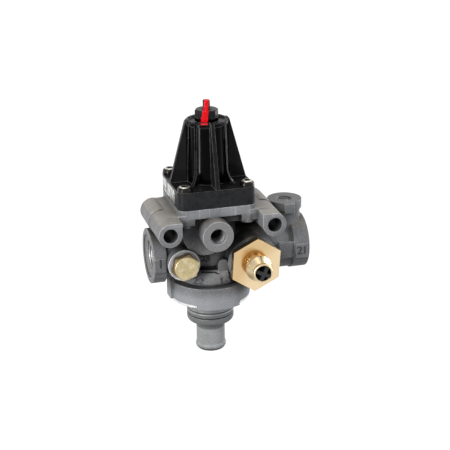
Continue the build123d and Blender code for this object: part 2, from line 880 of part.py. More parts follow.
# Adjusting screw with a cone point below and a slotted drive end above
with BuildPart() as adjusting_screw:
    with BuildSketch(Plane.XZ):
        with BuildLine():
            Polyline(
                (0, screw_bottom - screw_cone),
                (screw_cone_radius, screw_bottom),
                (screw_radius - screw_edge, screw_bottom + screw_edge),
                (screw_radius, screw_bottom + 2 * screw_edge),
                (screw_radius, screw_shoulder - screw_edge),
                (screw_radius - screw_edge, screw_shoulder),
                (screw_tip_radius, screw_shoulder),
                (screw_tip_radius, screw_top - screw_edge),
                (screw_tip_radius - screw_edge, screw_top),
                (0, screw_top),
                (0, screw_bottom - screw_cone),
            )
        make_face()
    revolve(axis=Axis.Z)
    with BuildSketch(Plane.XY.offset(screw_top)):
        Rectangle(3 * screw_tip_radius, screw_slot)
    extrude(amount=-screw_slot, mode=Mode.SUBTRACT)
save(adjusting_screw.part, "adjusting_screw")

# Lock nut
save(hex_nut(Plane.XY.offset(nut_bottom), nut_flats, nut_height, nut_bevel, screw_clearance), "lock_nut")

# Upper spring seat, dimpled for the screw's point
seat_pilot_radius = main_spring_radius - main_wire / 2 - free_gap
with BuildPart() as upper_spring_seat:
    with BuildSketch(Plane.XZ):
        with BuildLine():
            Polyline(
                (0, spring_seat_bottom - seat_pilot),
                (seat_pilot_radius, spring_seat_bottom - seat_pilot),
                (seat_pilot_radius, spring_seat_bottom),
                (seat_plate_radius, spring_seat_bottom),
                (seat_plate_radius, spring_seat_top),
                (screw_cone_radius + seal_gap, spring_seat_top),
                (0, spring_seat_top - screw_cone - seal_gap),
                (0, spring_seat_bottom - seat_pilot),
            )
        make_face()
    revolve(axis=Axis.Z)
save(upper_spring_seat.part, "upper_spring_seat")

# Setting spring
save(coil_spring(Plane.XY.offset(plate_top), main_spring_radius, main_wire, spring_seat_bottom - plate_top,
                 main_turns), "main_spring")

# Diaphragm with its plate and nut
plate_lip_radius = main_spring_radius + main_wire / 2 + free_gap
with BuildPart() as diaphragm_plate:
    with BuildSketch(Plane.XZ):
        with BuildLine():
            Polyline(
                (stud_radius + slip, plate_bottom),
                (plate_radius - plate_edge, plate_bottom),
                (plate_radius, plate_bottom + plate_edge),
                (plate_radius, plate_top),
                (plate_lip_radius + plate_lip_width, plate_top + plate_lip),
                (plate_lip_radius, plate_top + plate_lip),
                (plate_lip_radius, plate_top),
                (stud_radius + slip, plate_top),
                (stud_radius + slip, plate_bottom),
            )
        make_face()
    revolve(axis=Axis.Z)
save(diaphragm_plate.part, "diaphragm_plate")
diaphragm_plane = Plane.XY.offset(diaphragm_bottom)
save(ring_between(diaphragm_plane, diaphragm_radius, stud_radius + slip, diaphragm_thickness), "diaphragm")
save(hex_nut(Plane.XY.offset(plate_top), diaphragm_nut_flats, diaphragm_nut_height, diaphragm_nut_bevel,
             stud_radius + slip), "diaphragm_nut")

# Control piston: flange, stem with a ring groove, hollow nose and threaded stud
control_stem_radius = control_bore_radius - running_fit
control_ring_radius = control_stem_radius - control_ring_section
control_groove_radius = control_ring_radius - control_ring_section - slip
control_groove_half = control_ring_section + ring_groove_play
cross_hole_z = diaphragm_bottom - control_flange - cross_hole_radius - seal_gap
with BuildPart() as control_piston:
    with BuildSketch(Plane.XZ):
        with BuildLine():
            Polyline(
                (control_hole_radius, pilot_disc_top),
                (control_nose_radius, pilot_disc_top),
                (control_nose_radius, control_piston_bottom),
                (control_stem_radius, control_piston_bottom),
                (control_stem_radius, control_ring_z - control_groove_half),
                (control_groove_radius, control_ring_z - control_groove_half),
                (control_groove_radius, control_ring_z + control_groove_half),
                (control_stem_radius, control_ring_z + control_groove_half),
                (control_stem_radius, diaphragm_bottom - control_flange),
                (plate_radius - control_flange, diaphragm_bottom - control_flange),
                (plate_radius - control_flange, diaphragm_bottom),
                (stud_radius, diaphragm_bottom),
                (stud_radius, plate_top + diaphragm_nut_height + stud_end),
                (0, plate_top + diaphragm_nut_height + stud_end),
                (0, cross_hole_z),
                (control_hole_radius, cross_hole_z),
                (control_hole_radius, pilot_disc_top),
            )
        make_face()
    revolve(axis=Axis.Z)
    with BuildSketch(Plane.XZ):
        with Locations((0, cross_hole_z)):
            Circle(cross_hole_radius)
    extrude(amount=control_bore_radius, both=True, mode=Mode.SUBTRACT)
save(control_piston.part, "control_piston")
control_ring_plane = Plane.XY.offset(control_ring_z)
save(seal_ring(control_ring_plane, control_ring_radius, control_ring_section), "control_piston_ring")

# Pilot valve, its spring and the pressed-in retainer
pilot_disc_bottom = pilot_disc_top - pilot_disc
retainer_top = piston_bore_top + pilot_retainer_height
with BuildPart() as pilot_valve:
    with BuildSketch(Plane.XZ):
        with BuildLine():
            Polyline(
                (0, piston_bore_top),
                (pilot_stem_radius, piston_bore_top),
                (pilot_stem_radius, pilot_disc_bottom),
                (pilot_disc_radius, pilot_disc_bottom),
                (pilot_disc_radius, pilot_disc_top - pilot_edge),
                (pilot_disc_radius - pilot_edge, pilot_disc_top),
                (0, pilot_disc_top),
                (0, piston_bore_top),
            )
        make_face()
    revolve(axis=Axis.Z)
save(pilot_valve.part, "pilot_valve")
retainer_plane = Plane.XY.offset(piston_bore_top)
save(ring_between(retainer_plane, pilot_chamber_radius - screw_fit, pilot_stem_radius + slip,
                  pilot_retainer_height), "pilot_retainer")
save(coil_spring(Plane.XY.offset(retainer_top), pilot_spring_radius, pilot_wire,
                 pilot_disc_bottom - retainer_top, pilot_turns), "pilot_spring")

# Unloader piston with its stem, and the ring in its crown
crown_radius = piston_bore_radius - slip
piston_ring_radius = crown_radius - piston_ring_section
piston_ring_z = piston_top - piston_crown / 2
piston_groove_radius = piston_ring_radius - piston_ring_section - slip
piston_groove_half = piston_ring_section + ring_groove_play
screw_bore_radius = exhaust_screw_radius + slip
screw_bore_end = exhaust_disc_top + exhaust_screw_reach + piston_dish
with BuildPart() as unloader_piston:
    with BuildSketch(Plane.XZ):
        with BuildLine():
            Polyline(
                (screw_bore_radius, exhaust_disc_top),
                (piston_stem_radius, exhaust_disc_top),
                (piston_stem_radius, crown_bottom - piston_fillet),
                (piston_stem_radius + piston_fillet, crown_bottom),
                (crown_radius, crown_bottom),
                (crown_radius, piston_ring_z - piston_groove_half),
                (piston_groove_radius, piston_ring_z - piston_groove_half),
                (piston_groove_radius, piston_ring_z + piston_groove_half),
                (crown_radius, piston_ring_z + piston_groove_half),
                (crown_radius, piston_top - piston_edge),
                (crown_radius - piston_edge, piston_top),
                (piston_dish_radius, piston_top),
                (piston_dish_radius - piston_dish, piston_top - piston_dish),
                (0, piston_top - piston_dish),
                (0, screw_bore_end + piston_dish),
                (screw_bore_radius, screw_bore_end),
                (screw_bore_radius, exhaust_disc_top),
            )
        make_face()
    revolve(axis=Axis.Z)
save(unloader_piston.part, "unloader_piston")
piston_ring_plane = Plane.XY.offset(piston_ring_z)
save(seal_ring(piston_ring_plane, piston_ring_radius, piston_ring_section), "unloader_piston_ring")

# Exhaust valve disc and its screw
exhaust_disc_bottom = exhaust_disc_top - exhaust_disc
with BuildPart() as exhaust_valve:
    with BuildSketch(Plane.XZ):
        with BuildLine():
            Polyline(
                (screw_bore_radius, exhaust_disc_bottom),
                (exhaust_disc_radius - exhaust_disc_slope, exhaust_disc_bottom),
                (exhaust_disc_radius, exhaust_disc_bottom + exhaust_disc_edge),
                (exhaust_disc_radius, exhaust_disc_top),
                (screw_bore_radius, exhaust_disc_top),
                (screw_bore_radius, exhaust_disc_bottom),
            )
        make_face()
    revolve(axis=Axis.Z)
save(exhaust_valve.part, "exhaust_valve")
exhaust_head_plane = Plane.XY.offset(exhaust_disc_bottom - exhaust_screw_head)
with BuildPart() as exhaust_valve_screw:
    with BuildSketch(exhaust_head_plane):
        Circle(exhaust_screw_head_radius)
    extrude(amount=exhaust_screw_head)
    chamfer(exhaust_valve_screw.edges().group_by(Axis.Z)[0], exhaust_screw_edge)
    with BuildSketch(Plane.XY.offset(exhaust_disc_bottom)):
        Circle(exhaust_screw_radius)
    extrude(amount=exhaust_disc + exhaust_screw_reach)
    with BuildSketch(exhaust_head_plane):
        RegularPolygon(radius=exhaust_screw_socket_radius, side_count=6)
    extrude(amount=exhaust_screw_socket, mode=Mode.SUBTRACT)
save(exhaust_valve_screw.part, "exhaust_valve_screw")

# Exhaust seat: a plate with a lip below, a ring groove and a guide hub on three arms
insert_radius = barrel_bore_radius - slip
insert_ring_radius = insert_radius - insert_ring_section
insert_groove_radius = insert_ring_radius - insert_ring_section - slip
insert_groove_half = insert_ring_section + slip
insert_ring_z = (exhaust_seat_bottom + seat_shelf) / 2
guide_plane = Plane.XY.offset(seat_shelf - guide_arm_height)
lip_radius = exhaust_hole_radius + exhaust_lip_width
with BuildPart() as exhaust_seat:
    with BuildSketch(Plane.XZ):
        with BuildLine():
            Polyline(
                (exhaust_hole_radius, exhaust_disc_top),
                (lip_radius, exhaust_disc_top),
                (lip_radius + exhaust_lip, exhaust_seat_bottom),
                (insert_radius, exhaust_seat_bottom),
                (insert_radius, insert_ring_z - insert_groove_half),
                (insert_groove_radius, insert_ring_z - insert_groove_half),
                (insert_groove_radius, insert_ring_z + insert_groove_half),
                (insert_radius, insert_ring_z + insert_groove_half),
                (insert_radius, seat_shelf),
                (exhaust_hole_radius, seat_shelf),
                (exhaust_hole_radius, exhaust_disc_top),
            )
        make_face()
    revolve(axis=Axis.Z)
    with BuildSketch(guide_plane):
        Circle(guide_hub_radius)
    extrude(amount=guide_hub_height)
    with BuildSketch(guide_plane):
        with PolarLocations((exhaust_hole_radius + guide_hub_radius) / 2, 3):
            Rectangle(exhaust_hole_radius - guide_hub_radius + guide_arm_overlap, guide_arm)
    extrude(amount=guide_arm_height)
    with BuildSketch(guide_plane):
        Circle(piston_stem_radius + running_fit)
    extrude(amount=guide_hub_height, mode=Mode.SUBTRACT)
save(exhaust_seat.part, "exhaust_seat")
save(seal_ring(Plane.XY.offset(insert_ring_z), insert_ring_radius, insert_ring_section), "exhaust_seat_ring")

# Return spring
save(coil_spring(Plane.XY.offset(seat_shelf), return_spring_radius, return_wire, crown_bottom - seat_shelf,
                 return_turns), "return_spring")

# Exhaust cover: rim, ribbed neck and hose spigot with a bead
cover_ring_z = cover_rim_bottom + cover_rim_height / 2
cover_inner = barrel_bore_radius - cover_wall
neck_inner = cover_neck_radius - cover_neck_wall
neck_top_radius = cover_neck_radius - cover_groove
spigot_bore = spigot_radius - spigot_wall
bead_bottom = (spigot_radius - spigot_edge, 0)
bead_side = (spigot_radius + spigot_bead, spigot_bead_height / 2)
bead_top = (spigot_radius, spigot_bead_height)
neck_foot = (cover_neck_radius - cover_neck_rounding, cover_bottom)
neck_curve = (cover_neck_radius - cover_neck_rounding * 0.29, cover_bottom + cover_neck_rounding * 0.29)
neck_side = (cover_neck_radius, cover_bottom + cover_neck_rounding)
neck_profile = [neck_side]
for rise in cover_grooves:
    neck_profile += [
        (cover_neck_radius, cover_bottom + rise - cover_groove_width / 2),
        (neck_top_radius, cover_bottom + rise),
        (cover_neck_radius, cover_bottom + rise + cover_groove_width / 2),
    ]
with BuildPart() as exhaust_cover:
    with BuildSketch(Plane.XZ):
        with BuildLine():
            Line((spigot_bore, 0), bead_bottom)
            ThreePointArc(bead_bottom, bead_side, bead_top)
            Polyline(bead_top, (spigot_radius, cover_bottom), neck_foot)
            ThreePointArc(neck_foot, neck_curve, neck_side)
            Polyline(
                *neck_profile,
                (cover_neck_radius, cover_rim_bottom - cover_groove_width),
                (neck_top_radius, cover_rim_bottom),
                (insert_radius, cover_rim_bottom),
                (insert_radius, cover_ring_z - insert_groove_half),
                (insert_groove_radius, cover_ring_z - insert_groove_half),
                (insert_groove_radius, cover_ring_z + insert_groove_half),
                (insert_radius, cover_ring_z + insert_groove_half),
                (insert_radius, exhaust_seat_bottom),
                (cover_inner, exhaust_seat_bottom),
                (cover_inner, cover_rim_bottom + cover_step),
                (neck_inner, cover_rim_bottom + cover_step),
                (neck_inner, cover_bottom + cover_neck_wall),
                (spigot_bore, cover_bottom + cover_neck_wall),
                (spigot_bore, 0),
            )
        make_face()
    revolve(axis=Axis.Z)
save(exhaust_cover.part, "exhaust_cover")
save(seal_ring(Plane.XY.offset(cover_ring_z), insert_ring_radius, insert_ring_section), "cover_ring")

# Retaining ring: open at the back, wider where the skirt's windows show it
ring_plane = Plane.XY.offset(ring_groove_top - retaining_ring_height)
with BuildPart() as retaining_ring:
    with BuildSketch(ring_plane):
        Circle(retaining_groove_radius)
        Circle(retaining_ring_inner, mode=Mode.SUBTRACT)
    extrude(amount=retaining_ring_height)
    with BuildSketch(ring_plane):
        Circle(retaining_ring_outer)
        Rectangle(2 * (window_half_width + free_gap), 2 * barrel_radius, mode=Mode.SUBTRACT)
        Circle(retaining_groove_radius - retaining_ring_land, mode=Mode.SUBTRACT)
    extrude(amount=retaining_ring_height)
    with BuildSketch(ring_plane):
        with Locations((0, barrel_bore_radius)):
            Rectangle(retaining_ring_opening, retaining_ring_opening)
    extrude(amount=retaining_ring_height, mode=Mode.SUBTRACT)
save(retaining_ring.part, "retaining_ring")

# Strainer in port 1: a flanged cup with slots, and its clip
filter_radius = filter_bore_radius - free_gap
with BuildPart() as filter_element:
    with BuildSketch(side_plane(filter_ledge_x, -1)):
        Circle(port_bore_radius - slip)
    extrude(amount=filter_flange)
    with BuildSketch(side_plane(filter_ledge_x, 1)):
        Circle(filter_radius)
    extrude(amount=filter_length)
    with BuildSketch(side_plane(filter_ledge_x - filter_flange, 1)):
        Circle(filter_radius - filter_wall)
    extrude(amount=filter_length + filter_flange - filter_wall, mode=Mode.SUBTRACT)
    for slot in range(filter_slots):
        turn = radians(360 / filter_slots * slot)
        with BuildSketch(Plane(origin=(filter_ledge_x + filter_slot_x, 0, port_height), x_dir=(1, 0, 0),
                               z_dir=(0, cos(turn), sin(turn)))):
            SlotOverall(filter_slot_length, filter_slot_width)
        extrude(amount=filter_bore_radius, mode=Mode.SUBTRACT)
save(filter_element.part, "filter_element")
filter_clip_plane = side_plane(filter_clip_x + slip, 1)
save(spring_clip(filter_clip_plane, clip_groove_radius - slip, port_bore_radius - clip_width, clip_height,
                 clip_opening), "filter_clip")

# Check valve with its seal, spring, guide and clip
check_disc_x = check_seat_x + check_seal_thickness
with BuildPart() as check_valve:
    with BuildSketch(side_plane(check_disc_x, 1)):
        Circle(check_disc_radius)
    extrude(amount=check_disc)
    with BuildSketch(side_plane(check_disc_x, 1)):
        Circle(check_stem_radius)
    extrude(amount=check_stem_end - check_disc_x)
    with BuildSketch(side_plane(check_stem_end, 1)):
        Circle(check_stem_radius - check_stem_wall)
    extrude(amount=-check_stem_depth, mode=Mode.SUBTRACT)
save(check_valve.part, "check_valve")
save(ring_between(side_plane(check_seat_x, 1), check_disc_radius, check_seal_radius, check_seal_thickness),
     "check_seal")
check_spring_x = check_disc_x + check_disc
check_spring_length = check_retainer_x - check_spring_x
save(coil_spring(side_plane(check_spring_x, 1), check_spring_radius, check_wire, check_spring_length,
                 check_turns), "check_spring")
with BuildPart() as check_retainer_plate:
    with BuildSketch(side_plane(check_retainer_x, 1)):
        Circle(port_bore_radius - slip)
        Circle(check_stem_radius + running_fit, mode=Mode.SUBTRACT)
        with PolarLocations(check_vent_circle, 6):
            Circle(check_vent_radius, mode=Mode.SUBTRACT)
    extrude(amount=check_retainer)
save(check_retainer_plate.part, "check_retainer")
save(spring_clip(side_plane(check_clip_x, 1), clip_groove_radius - slip, port_bore_radius - clip_width,
                 clip_height, clip_opening), "check_clip")

# Port 22 plug and its washer
plug_plane = front_plane(port_22_x, -hex_back_y, port_22_z)
with BuildPart() as port_22_plug:
    add(hex_head(plug_plane, plug_flats, hex_thickness, plug_bevel, plug_turn))
    with BuildSketch(plug_plane):
        Circle(small_bore_radius - screw_fit)
    extrude(amount=-plug_shank)
save(port_22_plug.part, "port_22_plug")
save(ring_between(front_plane(port_22_x, -side_face_y, port_22_z), plug_flats / 2, small_bore_radius + slip,
                  washer_thickness), "port_22_washer")

# Tyre inflation fitting: hex, hollow shank and stepped nozzle
fitting_plane = front_plane(inflation_x, -hex_back_y, inflation_z)
shank_plane = front_plane(inflation_x, fitting_shank - hex_back_y, inflation_z)
nozzle_end_y = -(hex_face_y + nozzle_length)
bead_y = nozzle_end_y + nozzle_bead_length
bead_radius = nozzle_cone_radius + nozzle_bead
neck_end_y = -hex_face_y - nozzle_neck_length
base_y = -hex_face_y - nozzle_base_length
with BuildPart() as inflation_fitting:
    add(hex_head(fitting_plane, fitting_flats, hex_thickness, fitting_bevel, fitting_turn))
    with BuildSketch(inflation_section):
        with BuildLine():
            Polyline(
                (-hex_back_y - washer_thickness, inflation_z),
                (-hex_back_y - washer_thickness, inflation_z + nozzle_neck_radius),
                (neck_end_y, inflation_z + nozzle_neck_radius),
                (neck_end_y - nozzle_neck_slope, inflation_z + nozzle_base_radius),
                (base_y, inflation_z + nozzle_base_radius),
                (bead_y + nozzle_bead, inflation_z + nozzle_cone_radius),
                (bead_y, inflation_z + bead_radius),
                (nozzle_end_y + nozzle_edge, inflation_z + bead_radius),
                (nozzle_end_y, inflation_z + bead_radius - nozzle_edge),
                (nozzle_end_y, inflation_z),
                (-hex_back_y - washer_thickness, inflation_z),
            )
        make_face()
    revolve(axis=inflation_axis)
    with BuildSketch(fitting_plane):
        Circle(inflation_bore_radius - screw_fit)
    extrude(amount=-fitting_shank)
    with BuildSketch(shank_plane):
        Circle(nozzle_bore_radius)
    extrude(amount=fitting_shank + hex_thickness + nozzle_length, mode=Mode.SUBTRACT)
    with BuildSketch(shank_plane):
        Circle(fitting_chamber_radius)
    extrude(amount=fitting_chamber_depth, mode=Mode.SUBTRACT)
save(inflation_fitting.part, "inflation_fitting")
save(ring_between(front_plane(inflation_x, -side_face_y, inflation_z), fitting_flats / 2 - washer_inset,
                  inflation_bore_radius + slip, washer_thickness), "inflation_washer")

# Tappet with four legs, and its spring
tappet_plane = front_plane(inflation_x, -shoulder_y, inflation_z)
with BuildPart() as inflation_tappet:
    with BuildSketch(tappet_plane):
        Circle(tappet_disc_radius)
    extrude(amount=-tappet_disc)
    with BuildSketch(tappet_plane):
        Circle(tappet_core_radius)
        with PolarLocations(tappet_leg_reach / 2, tappet_legs, start_angle=tappet_turn):
            Rectangle(tappet_leg_reach, tappet_leg)
    extrude(amount=tappet_proud - nozzle_end_y - shoulder_y)
save(inflation_tappet.part, "inflation_tappet")
tappet_back_y = tappet_disc - shoulder_y
bore_floor_y = inflation_bore_depth - side_face_y
tappet_back = Plane(origin=(inflation_x, tappet_back_y, inflation_z), x_dir=(1, 0, 0), z_dir=(0, 1, 0))
save(coil_spring(tappet_back, inflation_spring_radius, inflation_wire, bore_floor_y - tappet_back_y,
                 inflation_turns), "inflation_spring")

# Foil on the left side of the bonnet's flange
label_z = (flange_top + bonnet_flange_top) / 2
with BuildPart() as label_foil:
    with BuildSketch(Plane(origin=(-flange_width / 2, label_y, label_z), x_dir=(0, -1, 0), z_dir=(-1, 0, 0))):
        RectangleRounded(label_length, label_height, label_corner)
    extrude(amount=label_thickness)
save(label_foil.part, "label_foil")
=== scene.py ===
import math

import bmesh
import bpy
from mathutils import Matrix, Vector


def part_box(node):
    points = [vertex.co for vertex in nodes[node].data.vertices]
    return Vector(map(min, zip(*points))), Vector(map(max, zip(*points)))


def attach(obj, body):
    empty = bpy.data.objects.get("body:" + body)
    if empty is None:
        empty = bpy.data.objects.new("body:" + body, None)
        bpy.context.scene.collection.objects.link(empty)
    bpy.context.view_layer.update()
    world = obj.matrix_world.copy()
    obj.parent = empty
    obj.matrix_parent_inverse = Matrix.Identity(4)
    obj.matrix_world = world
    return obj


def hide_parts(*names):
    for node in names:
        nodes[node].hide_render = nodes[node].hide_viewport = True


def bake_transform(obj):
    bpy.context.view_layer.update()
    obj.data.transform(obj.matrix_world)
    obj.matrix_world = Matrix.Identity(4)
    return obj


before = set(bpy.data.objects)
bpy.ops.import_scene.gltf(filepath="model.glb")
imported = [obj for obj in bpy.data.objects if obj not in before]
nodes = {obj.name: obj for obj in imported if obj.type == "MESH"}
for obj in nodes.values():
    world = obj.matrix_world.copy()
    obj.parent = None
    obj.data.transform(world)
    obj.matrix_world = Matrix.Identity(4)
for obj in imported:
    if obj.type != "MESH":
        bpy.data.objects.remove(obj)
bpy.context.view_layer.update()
mm = 0.001


# Camera, set as the photograph was taken
camera = {
    "azimuth": 15.39,
    "elevation": 20.47,
    "roll": -0.82,
    "distance": 822 * mm,
    "aside": 11.4 * mm,
    "height": 92.6 * mm,
    "lens": 94.23,
    "filmWidth": 36,
    "nearest": 10 * mm,
}


def setCamera(values):
    azimuth = math.radians(values["azimuth"])
    elevation = math.radians(values["elevation"])
    roll = math.radians(values["roll"])
    flat = math.cos(elevation)
    forward = Vector((math.sin(azimuth) * flat, math.cos(azimuth) * flat, -math.sin(elevation)))
    level = Vector((math.cos(azimuth), -math.sin(azimuth), 0))
    above = level.cross(forward)
    right = level * math.cos(roll) + above * math.sin(roll)
    up = above * math.cos(roll) - level * math.sin(roll)
    target = level * values["aside"] + Vector((0, 0, values["height"]))
    data = bpy.data.cameras.new("camera")
    data.lens = values["lens"]
    data.sensor_width = values["filmWidth"]
    data.clip_start = values["nearest"]
    holder = bpy.data.objects.new("camera", data)
    place = Matrix((right, up, -forward)).transposed().to_4x4()
    place.translation = target - forward * values["distance"]
    holder.matrix_world = place
    bpy.context.scene.collection.objects.link(holder)
    bpy.context.scene.camera = holder


setCamera(camera)
bpy.context.scene.view_settings.view_transform = "Standard"
print("camera set")


# Shader writing: a Signal is a socket that takes part in sums
class Signal:
    def __init__(self, shader, socket):
        self.shader = shader
        self.socket = socket

    def math(self, operation, *others):
        return self.shader.node("ShaderNodeMath", {"operation": operation}, [self, *others])

    def __add__(self, other):
        return self.math("ADD", other)

    def __radd__(self, other):
        return self.math("ADD", other)

    def __sub__(self, other):
        return self.math("SUBTRACT", other)

    def __rsub__(self, other):
        return self.shader.node("ShaderNodeMath", {"operation": "SUBTRACT"}, [other, self])

    def __mul__(self, other):
        return self.math("MULTIPLY", other)

    def __rmul__(self, other):
        return self.math("MULTIPLY", other)

    def __pow__(self, other):
        return self.math("POWER", other)

    def above(self, limit):
        return self.math("GREATER_THAN", limit)

    def below(self, limit):
        return self.math("LESS_THAN", limit)

    def most(self, other):
        return self.math("MAXIMUM", other)

    def ramp(self, start, end, low=0.0, high=1.0):
        values = {"Value": self, "From Min": start, "From Max": end, "To Min": low, "To Max": high}
        return self.shader.node("ShaderNodeMapRange", {"interpolation_type": "SMOOTHSTEP"}, values)


class Shader:
    def __init__(self, name, kind=bpy.data.materials):
        self.holder = kind.new(name)
        self.holder.use_nodes = True
        self.tree = self.holder.node_tree
        self.tree.nodes.clear()
        self.place = None

    def node(self, kind, settings=None, values=None, out=0):
        made = self.tree.nodes.new(kind)
        for key, value in (settings or {}).items():
            setattr(made, key, value)
        pairs = values.items() if isinstance(values, dict) else enumerate(values or [])
        for key, value in pairs:
            self.feed(made.inputs[key], value)
        if isinstance(out, tuple):
            return [Signal(self, made.outputs[name]) for name in out]
        return Signal(self, made.outputs[out]) if made.outputs else None

    def feed(self, socket, value):
        if isinstance(value, Signal):
            self.tree.links.new(value.socket, socket)
        elif isinstance(value, (tuple, list)) and socket.type == "RGBA" and len(value) == 3:
            socket.default_value = (*value, 1)
        else:
            socket.default_value = value

    def position(self):
        if self.place is None:
            self.place = self.node("ShaderNodeTexCoord", out="Object")
        return self.place

    def axes(self):
        return self.node("ShaderNodeSeparateXYZ", {}, [self.position()], out=("X", "Y", "Z"))

    def noise(self, size, detail=2.0, roughness=0.5, stretch=(1, 1, 1), seed=0.0):
        place = self.node("ShaderNodeMapping", {}, {
            "Vector": self.position(), "Scale": stretch, "Location": (seed, seed * 0.7, -seed)})
        return self.node("ShaderNodeTexNoise", {"noise_dimensions": "3D"}, {
            "Vector": place, "Scale": 1 / size, "Detail": detail, "Roughness": roughness})

    def openness(self, reach):
        # one in the open, less in corners and recesses
        return self.node("ShaderNodeAmbientOcclusion", {"samples": 8}, {"Distance": reach}, out="AO")

    def upward(self):
        # one on faces that look up
        facing = self.node("ShaderNodeNewGeometry", out="Normal")
        return self.node("ShaderNodeSeparateXYZ", {}, [facing], out="Z").ramp(0.3, 0.95)

    def edges(self, reach):
        # one along sharp edges, nought on plain faces
        rounded = self.node("ShaderNodeBevel", {"samples": 6}, {"Radius": reach})
        flat = self.node("ShaderNodeNewGeometry", out="Normal")
        along = self.node("ShaderNodeVectorMath", {"operation": "DOT_PRODUCT"}, [rounded, flat], out="Value")
        return (1 - along).ramp(0.02, 0.16)

    def mixColour(self, factor, first, second):
        # the Mix node keeps its colour sockets at these places
        return self.node("ShaderNodeMix", {"data_type": "RGBA"}, {0: factor, 6: first, 7: second}, out=2)

    def tone(self, colour, amount):
        # the colour made lighter and darker by an amount about one
        return self.node("ShaderNodeVectorMath", {"operation": "SCALE"}, {0: colour, "Scale": amount})

    def relief(self, height, depth, strength=1.0, rounding=None):
        values = {"Height": height, "Distance": depth, "Strength": strength}
        if rounding:
            values["Normal"] = self.node("ShaderNodeBevel", {"samples": 6}, {"Radius": rounding})
        return self.node("ShaderNodeBump", {}, values)

    def finish(self, **values):
        # one kind of surface for the whole material
        return self.show(self.surface(**values))

    def show(self, surface):
        self.node("ShaderNodeOutputMaterial", {}, {"Surface": surface})
        return self.holder

    def surface(self, **values):
        names = {"baseColour": "Base Color", "metallic": "Metallic", "roughness": "Roughness", "normal": "Normal",
                 "specular": "Specular IOR Level"}
        return self.node("ShaderNodeBsdfPrincipled", {}, {names[key]: value for key, value in values.items()})


def within(signal, limits):
    # one between two values
    return signal.above(limits[0]) * signal.below(limits[1])


def insideCylinder(shader, centre, along, radius, start, end):
    # one within a radius of an axis, between two places on it
    axes = shader.axes()
    length = axes.pop("xyz".index(along))
    distance = ((axes[0] - centre[0] * mm) ** 2 + (axes[1] - centre[1] * mm) ** 2) ** 0.5
    return distance.below(radius * mm) * within(length, (start * mm, end * mm))


def dress(material, *names):
    for name in names:
        slots = nodes[name].data.materials
        slots.clear()
        slots.append(material)


# Red lacquer that seals the setting: a stripe down the front of the screw, nut and rim
lacquer = {
    "colour": (0.72, 0.006, 0.012),
    "roughness": 0.22,
    "specular": 0.12,
    "wobble": 0.9 * mm,
    "wobbleSize": 1.8 * mm,
    "softness": 0.12 * mm,
    "brushSize": 1.1 * mm,
    "thickness": 0.25 * mm,
    # it crosses the axis at this height and leans to the left below it
    "crossing": 179.6 * mm,
    "lean": 0.147,
    # half width, how far back it reaches and where it ends
    "adjusting_screw": (1.65 * mm, 1.5 * mm, 170 * mm),
    "lock_nut": (2.1 * mm, 0.0, 170 * mm),
    "bonnet": (2.35 * mm, 0.0, 169.0 * mm),
}


def lacquerStripe(shader, halfWidth, back, low):
    turn = math.radians(camera["azimuth"])
    x, y, z = shader.axes()
    wave = (shader.noise(lacquer["wobbleSize"], 2, 0.5, seed=6.4) - 0.5) * lacquer["wobble"]
    aside = x * math.cos(turn) - y * math.sin(turn) + wave - (z - lacquer["crossing"]) * lacquer["lean"]
    depth = x * math.sin(turn) + y * math.cos(turn)
    soft = lacquer["softness"]
    stripe = aside.math("ABSOLUTE").ramp(halfWidth + soft, halfWidth - soft)
    return stripe * depth.below(back) * (z + wave).above(low)


def lacquered(shader, red, under):
    # the surface under it where the mask is nought, lacquer where it is one
    brushed = shader.noise(lacquer["brushSize"], 2, 0.5, seed=2.9)
    colour = shader.tone(lacquer["colour"], brushed.ramp(0.3, 0.7, 0.72, 1.1))
    normal = shader.relief(red + brushed * 0.5, lacquer["thickness"], 0.6)
    paint = shader.surface(baseColour=colour, roughness=lacquer["roughness"], specular=lacquer["specular"],
                           normal=normal)
    return shader.show(shader.node("ShaderNodeMixShader", {}, [red, under, paint]))


